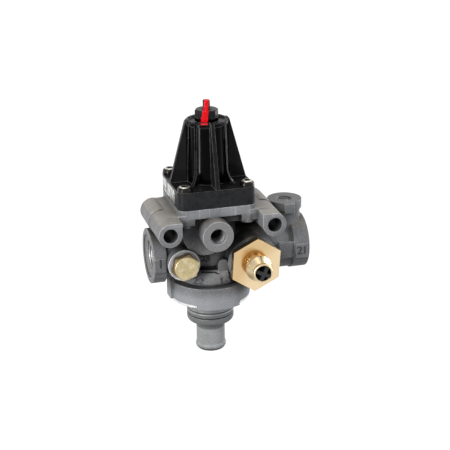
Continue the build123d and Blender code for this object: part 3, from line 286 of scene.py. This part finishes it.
# Cast aluminium: fine grain, faint pores, and turned faces at the ports
castAluminium = {
    "colour": (0.192, 0.196, 0.204),
    # painted light: faces that look up are warmer above this height
    "topColour": (0.198, 0.189, 0.175),
    "paintedTopLightFrom": 88 * mm,
    # the barrel and what hangs below it are painted lighter and bluer, as light bounced up from the floor, with a
    # smoother grain, from the first height down to the second
    "paintedBounceColour": (0.314, 0.328, 0.346),
    "paintedBounceFrom": (54 * mm, 46 * mm),
    "lowSmooth": 0.6,
    "turnedColour": (0.218, 0.218, 0.223),
    # the bright seat under the plug: centre, axis, radius, start and end in millimetres
    "spotFace": ((-24, 75), "y", 11.4, -25.4, -24.6),
    "spotFaceColour": (0.62, 0.62, 0.63),
    "grain": 0.9 * mm,
    "grainDepth": 0.06 * mm,
    "cloud": 9 * mm,
    "pore": 1.6 * mm,
    "roughness": 0.50,
    "turnedRoughness": 0.40,
    "metallic": 0.05,
    "specular": 0.15,
    "edge": 0.8 * mm,
    # painted shade: corners and recesses within this reach are darkened down to this tone
    "recess": 16 * mm,
    "paintedShadeTone": 0.10,
    # the painted shade in the slot above the barrel goes no darker than this between these heights
    "slot": (50 * mm, 56.5 * mm),
    "slotShadeLimit": 0.34,
    # the shoulder above the slot keeps little painted shade: how far in, to the right and back, where it fades and its
    # tones
    "shoulder": (56.5 * mm, 66.6 * mm),
    "shoulderInside": 18.6 * mm,
    "shoulderRight": 8 * mm,
    "shoulderBack": -10 * mm,
    "shoulderFade": (60 * mm, 66 * mm, 0.85, 1.2),
    # right of this place the painted shade in recesses is lighter
    "fadedShadeFrom": (41 * mm, 46 * mm),
    "fadedShadeTone": 0.82,
    # painted highlight: sharp edges are lighter over this width by this factor
    "castHighlightWidth": 0.8 * mm,
    "castHighlightTone": 1.8,
    # heights between which the metal is lighter or darker by a factor
    "bands": [(108.6 * mm, 114.6 * mm, 1.28)],
    # faint die lines across the front of the flange: places across, half width, lowest place and how far back
    "dieLines": [-13.1 * mm, -6.2 * mm, 11.8 * mm, 21.6 * mm],
    "dieLineWidth": 0.28 * mm,
    "dieLineFrom": 108 * mm,
    "dieLineBack": -20 * mm,
    "dieLineTone": 0.35,
}
# turned faces and bores: centre, axis, radius, start and end in millimetres, and a factor if the face is darker
spigotBore = ((0, 0), "z", 8.2, -1, 30)
turnedPlaces = [
    ((0, 75), "x", 15.6, -44, -42.9, 0.62),
    ((0, 75), "x", 12.0, -44, -10),
    ((0, 75), "x", 15.6, 67.2, 68.4),
    ((0, 75), "x", 12.0, 20, 68.4),
    ((-3, 97.6), "y", 10.9, -37.2, -36.8),
    ((-3, 97.6), "y", 6.4, -37.2, -20),
    ((55.4, 0), "z", 12.3, 106.8, 107.2, 0.58),
    ((55.4, 0), "z", 6.4, 90, 107.2),
    ((-36, 102.6), "y", 5.2, -39.5, 17.5),
    ((36, 102.6), "y", 5.2, -39.5, 17.5),
    spigotBore,
    ((25.4, 71.5), "y", 18.3, -25.2, -24.8),
]


def castMaterial(name, values, turned):
    shader = Shader(name)
    fine = shader.noise(values["grain"], 3, 0.6)
    coarse = shader.noise(values["cloud"], 2, 0.5, seed=3.1)
    pores = shader.noise(values["pore"], 1, 0.5, seed=7.7).ramp(0.68, 0.76)
    mask, dull = None, 1.0
    for centre, along, radius, start, end, *tone in turned:
        place = insideCylinder(shader, centre, along, radius, start, end)
        mask = place if mask is None else mask.most(place)
        if tone:
            dull = dull * (1 - place * (1 - tone[0]))
    shade = fine.ramp(0.28, 0.72, 0.78, 1.20) * coarse.ramp(0.3, 0.7, 0.90, 1.08) * (1 - pores * 0.2)
    x, y, z = shader.axes()
    # painted light: faces that look up take the warmer colour
    colour = shader.mixColour(shader.upward() * z.above(values["paintedTopLightFrom"]), values["colour"], values["topColour"])
    # painted light bounced from the floor: the lower part is lighter and bluer, and its grain evener
    low = z.ramp(*values["paintedBounceFrom"])
    smooth = low * values["lowSmooth"]
    colour = shader.tone(shader.mixColour(low, colour, values["paintedBounceColour"]), shade * (1 - smooth) + smooth)
    roughness = fine.ramp(0.3, 0.7, values["roughness"] - 0.05, values["roughness"] + 0.07)
    height = fine * 0.7 - pores * 0.6
    if mask is not None:
        colour = shader.mixColour(mask, colour, shader.tone(values["turnedColour"], fine.ramp(0.3, 0.7, 0.82, 1.12)))
        roughness = roughness * (1 - mask) + mask * values["turnedRoughness"]
        height = height * (1 - mask * 0.85)
        colour = shader.mixColour(insideCylinder(shader, *values["spotFace"]), colour, values["spotFaceColour"])
    # painted shade darkens corners and recesses, and a painted highlight lightens sharp edges
    band = dull
    for start, end, tone in values["bands"]:
        band = band * (1 - z.ramp(start - mm, start) * z.ramp(end + mm, end) * (1 - tone))
    for line in values["dieLines"]:
        near = (x - line).math("ABSOLUTE").below(values["dieLineWidth"])
        near = near * z.above(values["dieLineFrom"]) * y.below(values["dieLineBack"])
        band = band * (1 + near * values["dieLineTone"])
    # painted shade in recesses, held lighter in the slot, on the shoulder and to the right
    openness = shader.openness(values["recess"])
    shoulder = within(z, values["shoulder"]) * ((x * x + y * y) ** 0.5).above(values["shoulderInside"])
    shoulder = shoulder * x.below(values["shoulderRight"]) * y.below(values["shoulderBack"])
    recess = openness.ramp(0.22, 0.97, values["paintedShadeTone"], 1.0)
    recess = recess.most(shoulder * z.ramp(*values["shoulderFade"]))
    recess = recess.most(within(z, values["slot"]) * values["slotShadeLimit"])
    fadedShade = x.ramp(*values["fadedShadeFrom"]) * values["fadedShadeTone"]
    recess = recess.most(fadedShade if mask is None else fadedShade * (1 - mask))
    # painted highlight along sharp edges in the open
    castHighlight = shader.edges(values["castHighlightWidth"]) * openness.ramp(0.45, 0.7) * coarse.ramp(0.3, 0.6, 0.3, 1.0)
    colour = shader.tone(colour, recess * band * (1 + castHighlight * values["castHighlightTone"]))
    normal = shader.relief(height, values["grainDepth"], 0.8, values["edge"])
    return shader.finish(baseColour=colour, metallic=values["metallic"], roughness=roughness, normal=normal,
                         specular=values["specular"])


coverAluminium = {
    **castAluminium,
    # painted light bounced from the floor makes the spigot lighter and bluer
    "paintedBounceColour": (0.300, 0.312, 0.316),
    "lowSmooth": 0.35,
    "roughness": 0.42,
    "recess": 6 * mm,
    # the ribbed neck is painted darker than the spigot below it, as shade under the barrel
    "bands": [(17.5 * mm, 30 * mm, 0.55)],
    "dieLines": [],
}
dress(castMaterial("castAluminium", castAluminium, turnedPlaces), "body")
dress(castMaterial("coverAluminium", coverAluminium, [spigotBore]), "exhaust_cover")
print("cast metal")


# Black plastic of the bonnet: glossy barrel and webs, duller flange
blackPlastic = {
    "colour": (0.0006, 0.0006, 0.0008),
    # painted sheen: the flange and webs are lighter than the barrel, as reflected light
    "flangeSheenColour": (0.020, 0.0205, 0.022),
    "webSheenColour": (0.012, 0.012, 0.0125),
    "roughness": 0.13,
    "flangeRoughness": 0.30,
    "specular": 0.045,
    "edge": 0.5 * mm,
    "peel": 3.5 * mm,
    "peelDepth": 0.25 * mm,
    "grain": 0.5 * mm,
    # below this height is the flange, outside this radius are the webs
    "flangeTop": 126.4 * mm,
    "barrel": 15.2 * mm,
    # painted highlights along the edges, wider above the last height
    "highlightEdgeColour": (0.20, 0.20, 0.205),
    "highlightEdgeWidth": 0.45 * mm,
    "rimWidth": 0.8 * mm,
    "rimFrom": 157 * mm,
}


def plasticMaterial(values):
    shader = Shader("blackPlastic")
    x, y, z = shader.axes()
    orangePeel = shader.noise(values["peel"], 2, 0.5)
    fine = shader.noise(values["grain"], 2, 0.6, seed=2.3)
    flange = z.below(values["flangeTop"])
    web = ((x * x + y * y) ** 0.5).above(values["barrel"])
    # painted sheen on the webs and the flange
    colour = shader.mixColour(web, values["colour"], values["webSheenColour"])
    colour = shader.mixColour(flange, colour, values["flangeSheenColour"])
    colour = shader.tone(colour, orangePeel.ramp(0.2, 0.8, 0.8, 1.25))
    # painted highlight along the edges, weaker on the flange
    edge = shader.edges(values["highlightEdgeWidth"]).most(shader.edges(values["rimWidth"]) * z.above(values["rimFrom"]))
    rim = edge * orangePeel.ramp(0.3, 0.7, 0.45, 1.0) * (1 - flange * 0.7)
    colour = shader.mixColour(rim, colour, values["highlightEdgeColour"])
    roughness = orangePeel.ramp(0.3, 0.7, values["roughness"] - 0.03, values["roughness"] + 0.05)
    roughness = roughness + flange * (values["flangeRoughness"] - values["roughness"])
    normal = shader.relief(orangePeel * 0.04 + fine * 0.004, values["peelDepth"], 0.6, values["edge"])
    plastic = shader.surface(baseColour=colour, roughness=roughness, normal=normal, specular=values["specular"])
    return lacquered(shader, lacquerStripe(shader, *lacquer["bonnet"]), plastic)


dress(plasticMaterial(blackPlastic), "bonnet")
print("bonnet plastic")


# Plain metals, each with its own colour, stains and fine marks, and painted rims along the edges
metals = {
    # the rim colour is painted along the edges: lighter as a highlight on the dark steels, darker as shade on the
    # bright steel
    "blackSteel": {
        "colour": (0.008, 0.008, 0.009), "roughness": 0.30, "metallic": 0.1, "mark": 0.7 * mm, "edge": 0.25 * mm,
        "specular": 0.11, "rim": (0.05, 0.05, 0.052)},
    "screwSteel": {
        "colour": (0.014, 0.0135, 0.013), "roughness": 0.20, "metallic": 0.8, "mark": 0.9 * mm, "edge": 0.2 * mm,
        "rim": (0.16, 0.155, 0.14),
        # the star recess: its place across and back, its size, its floor painted dark as shade, and the ring round it
        # painted light as a highlight
        "socket": 21.7 * mm, "socketSize": 2.1 * mm, "socketShade": (0.002, 0.002, 0.002),
        "ringHighlight": (0.72, 0.70, 0.64), "ringHighlightFrom": (2.1 * mm, 2.4 * mm), "ringHighlightTo": (3.9 * mm, 3.6 * mm)},
    "brightSteel": {
        "colour": (0.74, 0.75, 0.76), "roughness": 0.26, "metallic": 0.9, "mark": 1.2 * mm, "edge": 0.15 * mm,
        "depth": 0.004 * mm, "rim": (0.16, 0.16, 0.165)},
    "springSteel": {
        "colour": (0.34, 0.34, 0.36), "roughness": 0.30, "metallic": 0.9, "mark": 1.0 * mm, "edge": 0},
    "turnedAluminium": {
        "colour": (0.62, 0.63, 0.64), "roughness": 0.32, "metallic": 0.85, "mark": 0.6 * mm, "edge": 0.2 * mm},
    "strainer": {
        "colour": (0.52, 0.38, 0.18), "roughness": 0.45, "metallic": 0.8, "mark": 0.6 * mm, "edge": 0.2 * mm},
    "cutThread": {
        "colour": (0.26, 0.26, 0.265), "roughness": 0.36, "metallic": 0.4, "mark": 0.8 * mm, "edge": 0},
}
# what the metals share: size of stains, depth of fine marks and width of the painted rims
metalWearAndHighlights = {"stain": 6 * mm, "depth": 0.02 * mm, "rimWidth": 0.5 * mm}


def metalMaterial(name, values, stripe=None):
    shader = Shader(name)
    marks = shader.noise(values["mark"], 3, 0.6)
    stain = shader.noise(metalWearAndHighlights["stain"], 2, 0.5, seed=4.4)
    colour = shader.tone(values["colour"], marks.ramp(0.25, 0.75, 0.88, 1.12) * stain.ramp(0.3, 0.7, 0.92, 1.08))
    roughness = marks.ramp(0.3, 0.7, values["roughness"] - 0.04, values["roughness"] + 0.08)
    normal = shader.relief(marks, values.get("depth", metalWearAndHighlights["depth"]), 0.6, values["edge"])
    # painted on the screw heads: a light ring as a highlight round the star recess, and the recess dark as shade
    if "socket" in values:
        across = [axis.math("ABSOLUTE") - values["socket"] for axis in shader.axes()[:2]]
        reach = (across[0] * across[0] + across[1] * across[1]) ** 0.5
        ringHighlight = reach.ramp(*values["ringHighlightFrom"]) * reach.ramp(*values["ringHighlightTo"])
        colour = shader.mixColour(ringHighlight * marks.ramp(0.3, 0.6, 0.5, 1.0), colour, values["ringHighlight"])
        colour = shader.mixColour(reach.below(values["socketSize"]), colour, values["socketShade"])
    # painted rim along the edges
    if "rim" in values:
        colour = shader.mixColour(shader.edges(metalWearAndHighlights["rimWidth"]), colour, values["rim"])
    metal = shader.surface(baseColour=colour, metallic=values["metallic"], roughness=roughness, normal=normal,
                           specular=values.get("specular", 0.5))
    return lacquered(shader, lacquerStripe(shader, *stripe), metal) if stripe else shader.show(metal)


metalOf = {name: metalMaterial(name, values) for name, values in metals.items()}
dress(metalOf["blackSteel"], "upper_spring_seat", "diaphragm_nut", "exhaust_valve_screw")
for name in ("adjusting_screw", "lock_nut"):
    dress(metalMaterial(name, metals["blackSteel"], lacquer[name]), name)
dress(metalOf["screwSteel"], "bonnet_screws")
dress(metalOf["brightSteel"], "retaining_ring", "filter_clip", "check_clip", "check_retainer", "pilot_retainer")
dress(metalOf["springSteel"], "main_spring", "pilot_spring", "return_spring", "check_spring", "inflation_spring")
dress(metalOf["turnedAluminium"], "diaphragm_plate", "control_piston", "unloader_piston", "exhaust_seat", "check_valve",
      "port_22_washer", "inflation_washer")
dress(metalOf["strainer"], "filter_element")
print("plain metals")


# Springs that the joints squeeze, each cut into pieces: axis, and the bodies from one end to the other, one piece for
# each pair
squeezedSprings = {
    "main_spring": (2, "control_piston", "root", "spring_seat"),
    "pilot_spring": (2, "root", "pilot_valve"),
    "return_spring": (2, "root", "unloader_piston"),
    "check_spring": (0, "check_valve", "root"),
    "inflation_spring": (1, "inflation_tappet", "root"),
}
# points closer than this count as one before a coil is cut
joinWithin = 0.001 * mm


def keepBetween(mesh, start, end):
    # cuts the mesh off beyond both places and closes it there
    form = bmesh.new()
    form.from_mesh(mesh)
    bmesh.ops.remove_doubles(form, verts=form.verts, dist=joinWithin)
    for place, beyond in ((start, start - end), (end, end - start)):
        geometry = [*form.verts, *form.edges, *form.faces]
        bmesh.ops.bisect_plane(form, geom=geometry, plane_co=place, plane_no=beyond, clear_outer=True)
        bmesh.ops.holes_fill(form, edges=[edge for edge in form.edges if edge.is_boundary])
    form.to_mesh(mesh)
    form.free()


def squeeze(name, axis, *bodies):
    # one piece for each pair of bodies, with the length shared out evenly
    low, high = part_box(name)
    pairs = list(zip(bodies, bodies[1:]))
    for i, (first, second) in enumerate(pairs):
        start, end = (low + high) / 2, (low + high) / 2
        start[axis] = low[axis] + (high[axis] - low[axis]) * i / len(pairs)
        end[axis] = low[axis] + (high[axis] - low[axis]) * (i + 1) / len(pairs)
        mesh = nodes[name].data.copy()
        if len(pairs) > 1:
            keepBetween(mesh, start, end)
        coils = bpy.data.objects.new(f"{name}Coils_{i}", mesh)
        bpy.context.scene.collection.objects.link(coils)
        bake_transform(coils)
        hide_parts(name)


for name, values in squeezedSprings.items():
    squeeze(name, *values)


# Brass of the tyre inflation connector
brass = {
    "roughness": 0.17,
    "edge": 0.3 * mm,
    "brush": 0.5 * mm,
    "brushDepth": 0.002 * mm,
    "stain": 7 * mm,
    # painted light: deeper gold towards the upper left, paler towards the lower right, and how far stains move that
    # border
    "colour": (0.66, 0.475, 0.25),
    "paintedPale": (0.80, 0.63, 0.40),
    "paintedPaleFrom": 38 * mm,
    "paintedPaleTo": 24 * mm,
    "wander": 8 * mm,
    # the nozzle is paler and duller than the polished hexagon
    "nozzle": (0.66, 0.53, 0.33),
    "nozzleFrom": -36 * mm,
    "dull": 0.19,
}


def brassMaterial(values):
    shader = Shader("brass")
    brushed = shader.noise(values["brush"], 2, 0.5)
    stain = shader.noise(values["stain"], 2, 0.5, seed=1.9)
    x, y, z = shader.axes()
    # painted light: paler towards the lower right
    across = (z - x) * 0.7 + (stain - 0.5) * values["wander"]
    colour = shader.mixColour(across.ramp(values["paintedPaleFrom"], values["paintedPaleTo"]), values["colour"], values["paintedPale"])
    nozzle = y.below(values["nozzleFrom"])
    colour = shader.mixColour(nozzle, colour, values["nozzle"])
    colour = shader.tone(colour, brushed.ramp(0.25, 0.75, 0.97, 1.03))
    roughness = brushed.ramp(0.3, 0.7, values["roughness"] - 0.03, values["roughness"] + 0.05) + nozzle * values["dull"]
    normal = shader.relief(brushed, values["brushDepth"], 0.4, values["edge"])
    return shader.finish(baseColour=colour, metallic=0.95, roughness=roughness, normal=normal)


dress(brassMaterial(brass), "inflation_fitting", "thread_bush")
print("brass")


# Yellow passivated zinc of the plug
yellowZinc = {
    "colour": (0.50, 0.42, 0.22),
    "blush": (0.62, 0.52, 0.35),
    "green": (0.40, 0.37, 0.19),
    "roughness": 0.34,
    "edge": 0.3 * mm,
    "cloud": 4.5 * mm,
    "film": 2.2 * mm,
    "grain": 0.4 * mm,
    "grainDepth": 0.02 * mm,
    # outside the turned disc the face is painted darker towards the upper left, as shade: the plug's axis, across and
    # up
    "axis": (-24 * mm, 75 * mm),
    "disc": 7.9 * mm,
    "shade": (0.17, 0.125, 0.06),
    "paintedShadeFrom": (92 * mm, 104 * mm),
}


def zincMaterial(values):
    shader = Shader("yellowZinc")
    cloud = shader.noise(values["cloud"], 2, 0.55, seed=5.2)
    film = shader.noise(values["film"], 3, 0.6, seed=8.6)
    fine = shader.noise(values["grain"], 3, 0.6)
    colour = shader.mixColour(cloud.ramp(0.42, 0.62), values["colour"], values["blush"])
    colour = shader.mixColour(film.ramp(0.52, 0.72), colour, values["green"])
    x, y, z = shader.axes()
    reach = ((x - values["axis"][0]) ** 2 + (z - values["axis"][1]) ** 2) ** 0.5
    paintedShadeRing = reach.above(values["disc"]) * (z - x).ramp(*values["paintedShadeFrom"])
    colour = shader.mixColour(paintedShadeRing, colour, values["shade"])
    colour = shader.tone(colour, fine.ramp(0.25, 0.75, 0.93, 1.07))
    roughness = film.ramp(0.3, 0.7, values["roughness"] - 0.05, values["roughness"] + 0.10)
    normal = shader.relief(fine, values["grainDepth"], 0.5, values["edge"])
    return shader.finish(baseColour=colour, metallic=0.85, roughness=roughness, normal=normal)


dress(zincMaterial(yellowZinc), "port_22_plug")
print("yellow zinc")


# Rubber and the tappet's plastic: colour and roughness
softBlack = {
    "rubber": ((0.018, 0.018, 0.018), 0.62),
    "tappetPlastic": ((0.004, 0.004, 0.004), 0.32),
    "grain": 0.5 * mm,
    "grainDepth": 0.04 * mm,
    "edge": 0.2 * mm,
}


def matteMaterial(name):
    colour, roughness = softBlack[name]
    shader = Shader(name)
    fine = shader.noise(softBlack["grain"], 3, 0.6)
    normal = shader.relief(fine, softBlack["grainDepth"], 0.6, softBlack["edge"])
    spread = fine.ramp(0.3, 0.7, roughness - 0.06, roughness + 0.08)
    colour = shader.tone(colour, fine.ramp(0.2, 0.8, 0.75, 1.3))
    return shader.finish(baseColour=colour, roughness=spread, normal=normal)


dress(matteMaterial("rubber"), "diaphragm", "control_piston_ring", "pilot_valve", "unloader_piston_ring",
      "exhaust_seat_ring", "exhaust_valve", "cover_ring", "check_seal")
dress(matteMaterial("tappetPlastic"), "inflation_tappet")
print("rubber and tappet")


# Silver foil, creased where it lies on the flange
# the creases and folds are painted dark, as dark reflections in the crumpled foil
foil = {"colour": (0.60, 0.61, 0.60), "creaseReflection": (0.03, 0.03, 0.03), "roughness": 0.24,
        "creaseSize": 8 * mm, "foldSize": 6 * mm, "depth": 0.22 * mm}


def foilMaterial(values):
    shader = Shader("foil")
    creases = shader.noise(values["creaseSize"], 3, 0.6, (1, 1.6, 0.8), 1.3)
    folds = shader.noise(values["foldSize"], 2, 0.5, seed=5.9)
    ridges = 1 - (creases * 2 - 1).math("ABSOLUTE").ramp(0.0, 0.10)
    roughness = creases.ramp(0.3, 0.7, values["roughness"] - 0.06, values["roughness"] + 0.12)
    normal = shader.relief(ridges + creases, values["depth"], 0.9)
    # painted dark reflections in the creases and folds
    darkReflection = (ridges * 0.55).most(folds.ramp(0.46, 0.62, 0.0, 0.9))
    colour = shader.mixColour(darkReflection, values["colour"], values["creaseReflection"])
    return shader.finish(baseColour=colour, metallic=0.9, roughness=roughness, normal=normal)


dress(foilMaterial(foil), "label_foil")
print("foil")


# Threads of the ports: a helical ridge in each bore, riding with the body.
# Steps in a turn, depth, and how far the ridge's foot reaches in pitches
threads = {"steps": 40, "depth": 0.45 * mm, "foot": 0.46}
# port name: a point on its axis, the way in, bore radius, thread length and pitch
threadedPorts = {
    "port1": ((-42.4, 0, 75), (1, 0, 0), 10.2, 12.0, 1.5),
    "port21": ((66.8, 0, 75), (-1, 0, 0), 10.2, 14.0, 1.5),
    "port23": ((-3, -36.4, 97.6), (0, 1, 0), 5.2, 11.0, 1.5),
    "gaugePort": ((55.4, 0, 106.4), (0, 0, -1), 5.2, 11.0, 1.5),
}


def makePiece(name, points, faces, material):
    mesh = bpy.data.meshes.new(name)
    mesh.from_pydata(points, [], faces)
    mesh.update()
    mesh.materials.append(material)
    for face in mesh.polygons:
        face.use_smooth = False
    piece = bpy.data.objects.new(name, mesh)
    bpy.context.scene.collection.objects.link(piece)
    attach(piece, "root")


def threadRidge(name, start, inward, radius, length, pitch):
    inward = Vector(inward)
    across = inward.orthogonal().normalized()
    third = inward.cross(across)
    points, faces = [], []
    count = int(length / pitch * threads["steps"])
    for i in range(count + 1):
        angle = 2 * math.pi * i / threads["steps"]
        outward = across * math.cos(angle) + third * math.sin(angle)
        fade = min(1, i / threads["steps"], (count - i) / threads["steps"])
        middle = Vector(start) * mm + inward * (pitch * mm * (i / threads["steps"] + 0.5))
        for along, rise in ((-threads["foot"], 0), (0, threads["depth"] * fade), (threads["foot"], 0)):
            points.append(middle + inward * (along * pitch * mm) + outward * (radius * mm - rise))
    for i in range(count):
        for j in range(2):
            a = 3 * i + j
            faces.append((a, a + 1, a + 4, a + 3))
    makePiece(name, points, faces, metalOf["cutThread"])


for port, values in threadedPorts.items():
    threadRidge(port + "Thread", *values)
print("threads")


# Cast numbers beside the ports and an arrow, laid on the body where a ray from the front meets it
castMarks = {
    "rise": 0.35 * mm,
    "sink": 0.5 * mm,
    # font size for a height of one, and letter spacing in widths
    "fontSize": 1.75,
    "spacing": 0.72,
    # the arrow's bars: width, width of the top as a part of it, and steps along
    "line": 0.9 * mm,
    "lineTop": 0.8,
    "lineSteps": 12,
    # the rays start this far in front
    "rayFrom": -0.2,
    # the raised numbers and arrow are painted darker than the body, as shade round them
    "numberShadeColour": (0.075, 0.075, 0.08),
    "arrowShadeColour": (0.02, 0.02, 0.022),
}
# number: place across and up, height and how much wider than the plain letter, in millimetres
portNumbers = {
    "1": (-39.4, 75.6, 5.2, 1.0),
    "21": (62.4, 73.6, 4.8, 1.05),
    "22": (-13.6, 60.4, 3.8, 1.35),
    "23": (-7.2, 74.9, 3.6, 1.2),
    "1-2": (5.2, 60.2, 3.6, 1.3),
}
arrowPoints = [(-10.8, 65.7), (-2.4, 65.7), (1.0, 64.7)]


def markMaterial(name, colour):
    values = {"colour": colour, "topColour": colour, "edge": 0.15 * mm, "castHighlightTone": 0.0, "dieLines": []}
    return castMaterial(name, {**castAluminium, **values}, [])


markMetal = markMaterial("castNumbers", castMarks["numberShadeColour"])
arrowMetal = markMaterial("castArrow", castMarks["arrowShadeColour"])


def bodyPoint(x, z):
    # the first place of the body seen from straight ahead, and the way it faces
    return nodes["body"].ray_cast(Vector((x, castMarks["rayFrom"], z)), Vector((0, 1, 0)))[1:3]


def castNumber(name, letter, x, z, height, wide):
    curve = bpy.data.curves.new("number", "FONT")
    curve.body = letter
    curve.align_x = "CENTER"
    curve.align_y = "CENTER"
    curve.size = height * castMarks["fontSize"] * mm
    curve.extrude = (castMarks["rise"] + castMarks["sink"]) / 2
    holder = bpy.data.objects.new("number", curve)
    bpy.context.scene.collection.objects.link(holder)
    bpy.context.view_layer.update()
    mesh = bpy.data.meshes.new_from_object(holder.evaluated_get(bpy.context.evaluated_depsgraph_get()))
    place, facing = bodyPoint(x * mm, z * mm)
    right = Vector((0, 0, 1)).cross(facing).normalized()
    turn = Matrix((right * wide, facing.cross(right), facing)).transposed().to_4x4()
    turn.translation = place + facing * ((castMarks["rise"] - castMarks["sink"]) / 2)
    points = [turn @ vertex.co for vertex in mesh.vertices]
    makePiece(name, points, [tuple(face.vertices) for face in mesh.polygons], markMetal)
    bpy.data.objects.remove(holder)


def castLine(name, start, end):
    # a raised bar along the body between two places
    steps, top, rise, foot = castMarks["lineSteps"], castMarks["lineTop"], castMarks["rise"], -castMarks["sink"]
    along = Vector((end[0] - start[0], 0, end[1] - start[1])).normalized()
    points, faces = [], []
    for i in range(steps + 1):
        part = i / steps
        place, facing = bodyPoint(*((a + (b - a) * part) * mm for a, b in zip(start, end)))
        aside = facing.cross(along).normalized() * castMarks["line"] / 2
        for side, height in ((-1, foot), (-top, rise), (top, rise), (1, foot)):
            points.append(place + aside * side + facing * height)
    for i in range(steps):
        for j in range(3):
            a = 4 * i + j
            faces.append((a, a + 1, a + 5, a + 4))
    makePiece(name, points, faces, arrowMetal)


for text, (x, z, height, wide) in portNumbers.items():
    for i, letter in enumerate(text):
        aside = (i - (len(text) - 1) / 2) * height * wide * castMarks["spacing"]
        castNumber(f"number{text[0]}{text[-1]}_{i}", letter, x + aside, z, height, wide)
castLine("arrowShaft", arrowPoints[0], arrowPoints[1])
castLine("arrowBarb", arrowPoints[1], arrowPoints[2])
print("cast numbers")


# Floor, backdrop and lamps
studio = {
    "white": (1, 1, 1),
    "skyLight": 0.14,
    # the floor: its reach, how far it lies below the valve, its paint and how bright it looks by itself
    "floorReach": 3.0,
    "floorDrop": 0.2 * mm,
    "floorPaint": 0.10,
    "floorGlow": 0.97,
    "lampColour": (1.0, 0.99, 0.975),
    "fillColour": (0.95, 0.97, 1.0),
    "topColour": (1.0, 0.93, 0.85),
    # what the lamps point at
    "aim": (0, 0, 0.09),
    # strips and panels stand round the valve and are seen in reflections alone
    "stripReach": 0.34,
    "stripHeight": 0.26,
    "stripTall": 0.5,
}
# place, width, height, power and colour
lamps = {
    "keyLamp": ((-0.95, -0.75, 0.60), 0.45, 1.1, 22.0, "lampColour"),
    "sideLamp": ((1.0, -0.55, 0.55), 0.15, 1.0, 10.0, "fillColour"),
    "backLamp": ((0.35, 1.1, 0.7), 0.6, 0.6, 7.0, "lampColour"),
    "topLamp": ((-0.1, 0.15, 1.25), 0.5, 0.5, 2.0, "topColour"),
}
# these light the valve without showing in its gloss
dullLamps = ("keyLamp", "sideLamp", "backLamp")
# angle round the valve, width and power
strips = {
    "leftStrip": (-147, 0.016, 1.7),
    "rightStrip": (20, 0.016, 0.5),
    "leftPanel": (149, 0.12, 0.3),
    "rightPanel": (2, 0.30, 0.65),
}


def areaLamp(name, place, target, wide, tall, power, colour):
    data = bpy.data.lights.new(name, "AREA")
    data.shape = "RECTANGLE"
    data.size = wide
    data.size_y = tall
    data.energy = power
    data.color = colour
    lamp = bpy.data.objects.new(name, data)
    lamp.location = place
    lamp.rotation_euler = (Vector(target) - Vector(place)).to_track_quat("-Z", "Y").to_euler()
    bpy.context.scene.collection.objects.link(lamp)
    return lamp


def setLamp(name):
    place, wide, tall, power, colour = lamps[name]
    areaLamp(name, place, studio["aim"], wide, tall, power, studio[colour]).visible_glossy = name not in dullLamps


def setStrip(name):
    angle, wide, power = strips[name]
    turn, reach, height = math.radians(angle), studio["stripReach"], studio["stripHeight"]
    foot = (reach * math.cos(turn), reach * math.sin(turn), height)
    strip = areaLamp(name, foot, (0, 0, height), wide, studio["stripTall"], power, studio["lampColour"])
    strip.visible_diffuse = False
    strip.visible_camera = False


def seen(shader):
    # one for rays that show the white backdrop, by eye or in a reflection
    rays = ("Is Camera Ray", "Is Glossy Ray", "Is Transmission Ray")
    byEye, inGloss, through = shader.node("ShaderNodeLightPath", out=rays)
    return byEye.most(inGloss).most(through)


def setSky(values):
    sky = Shader("studio", bpy.data.worlds)
    backdrop = sky.node("ShaderNodeBackground", {}, {"Color": values["white"], "Strength": 1})
    light = sky.node("ShaderNodeBackground", {}, {"Color": values["white"], "Strength": values["skyLight"]})
    sky.node("ShaderNodeOutputWorld", {}, [sky.node("ShaderNodeMixShader", {}, [seen(sky), light, backdrop])])
    bpy.context.scene.world = sky.holder


def setFloor(values):
    mesh = bpy.data.meshes.new("floor")
    reach, drop = values["floorReach"], -values["floorDrop"]
    corners = [(-reach, -reach, drop), (reach, -reach, drop), (reach, reach, drop), (-reach, reach, drop)]
    mesh.from_pydata(corners, [], [(0, 1, 2, 3)])
    floor = bpy.data.objects.new("floor", mesh)
    bpy.context.scene.collection.objects.link(floor)
    ground = Shader("floor")
    paint = ground.node("ShaderNodeBsdfDiffuse", {}, {"Color": (values["floorPaint"],) * 3})
    glow = ground.node("ShaderNodeEmission", {}, {
        "Color": values["white"], "Strength": seen(ground) * values["floorGlow"]})
    mesh.materials.append(ground.show(ground.node("ShaderNodeAddShader", {}, [paint, glow])))


setSky(studio)
setFloor(studio)
setLamp("keyLamp")
setLamp("sideLamp")
for name in strips:
    setStrip(name)
setLamp("backLamp")
setLamp("topLamp")
print("studio")

bpy.context.view_layer.update()
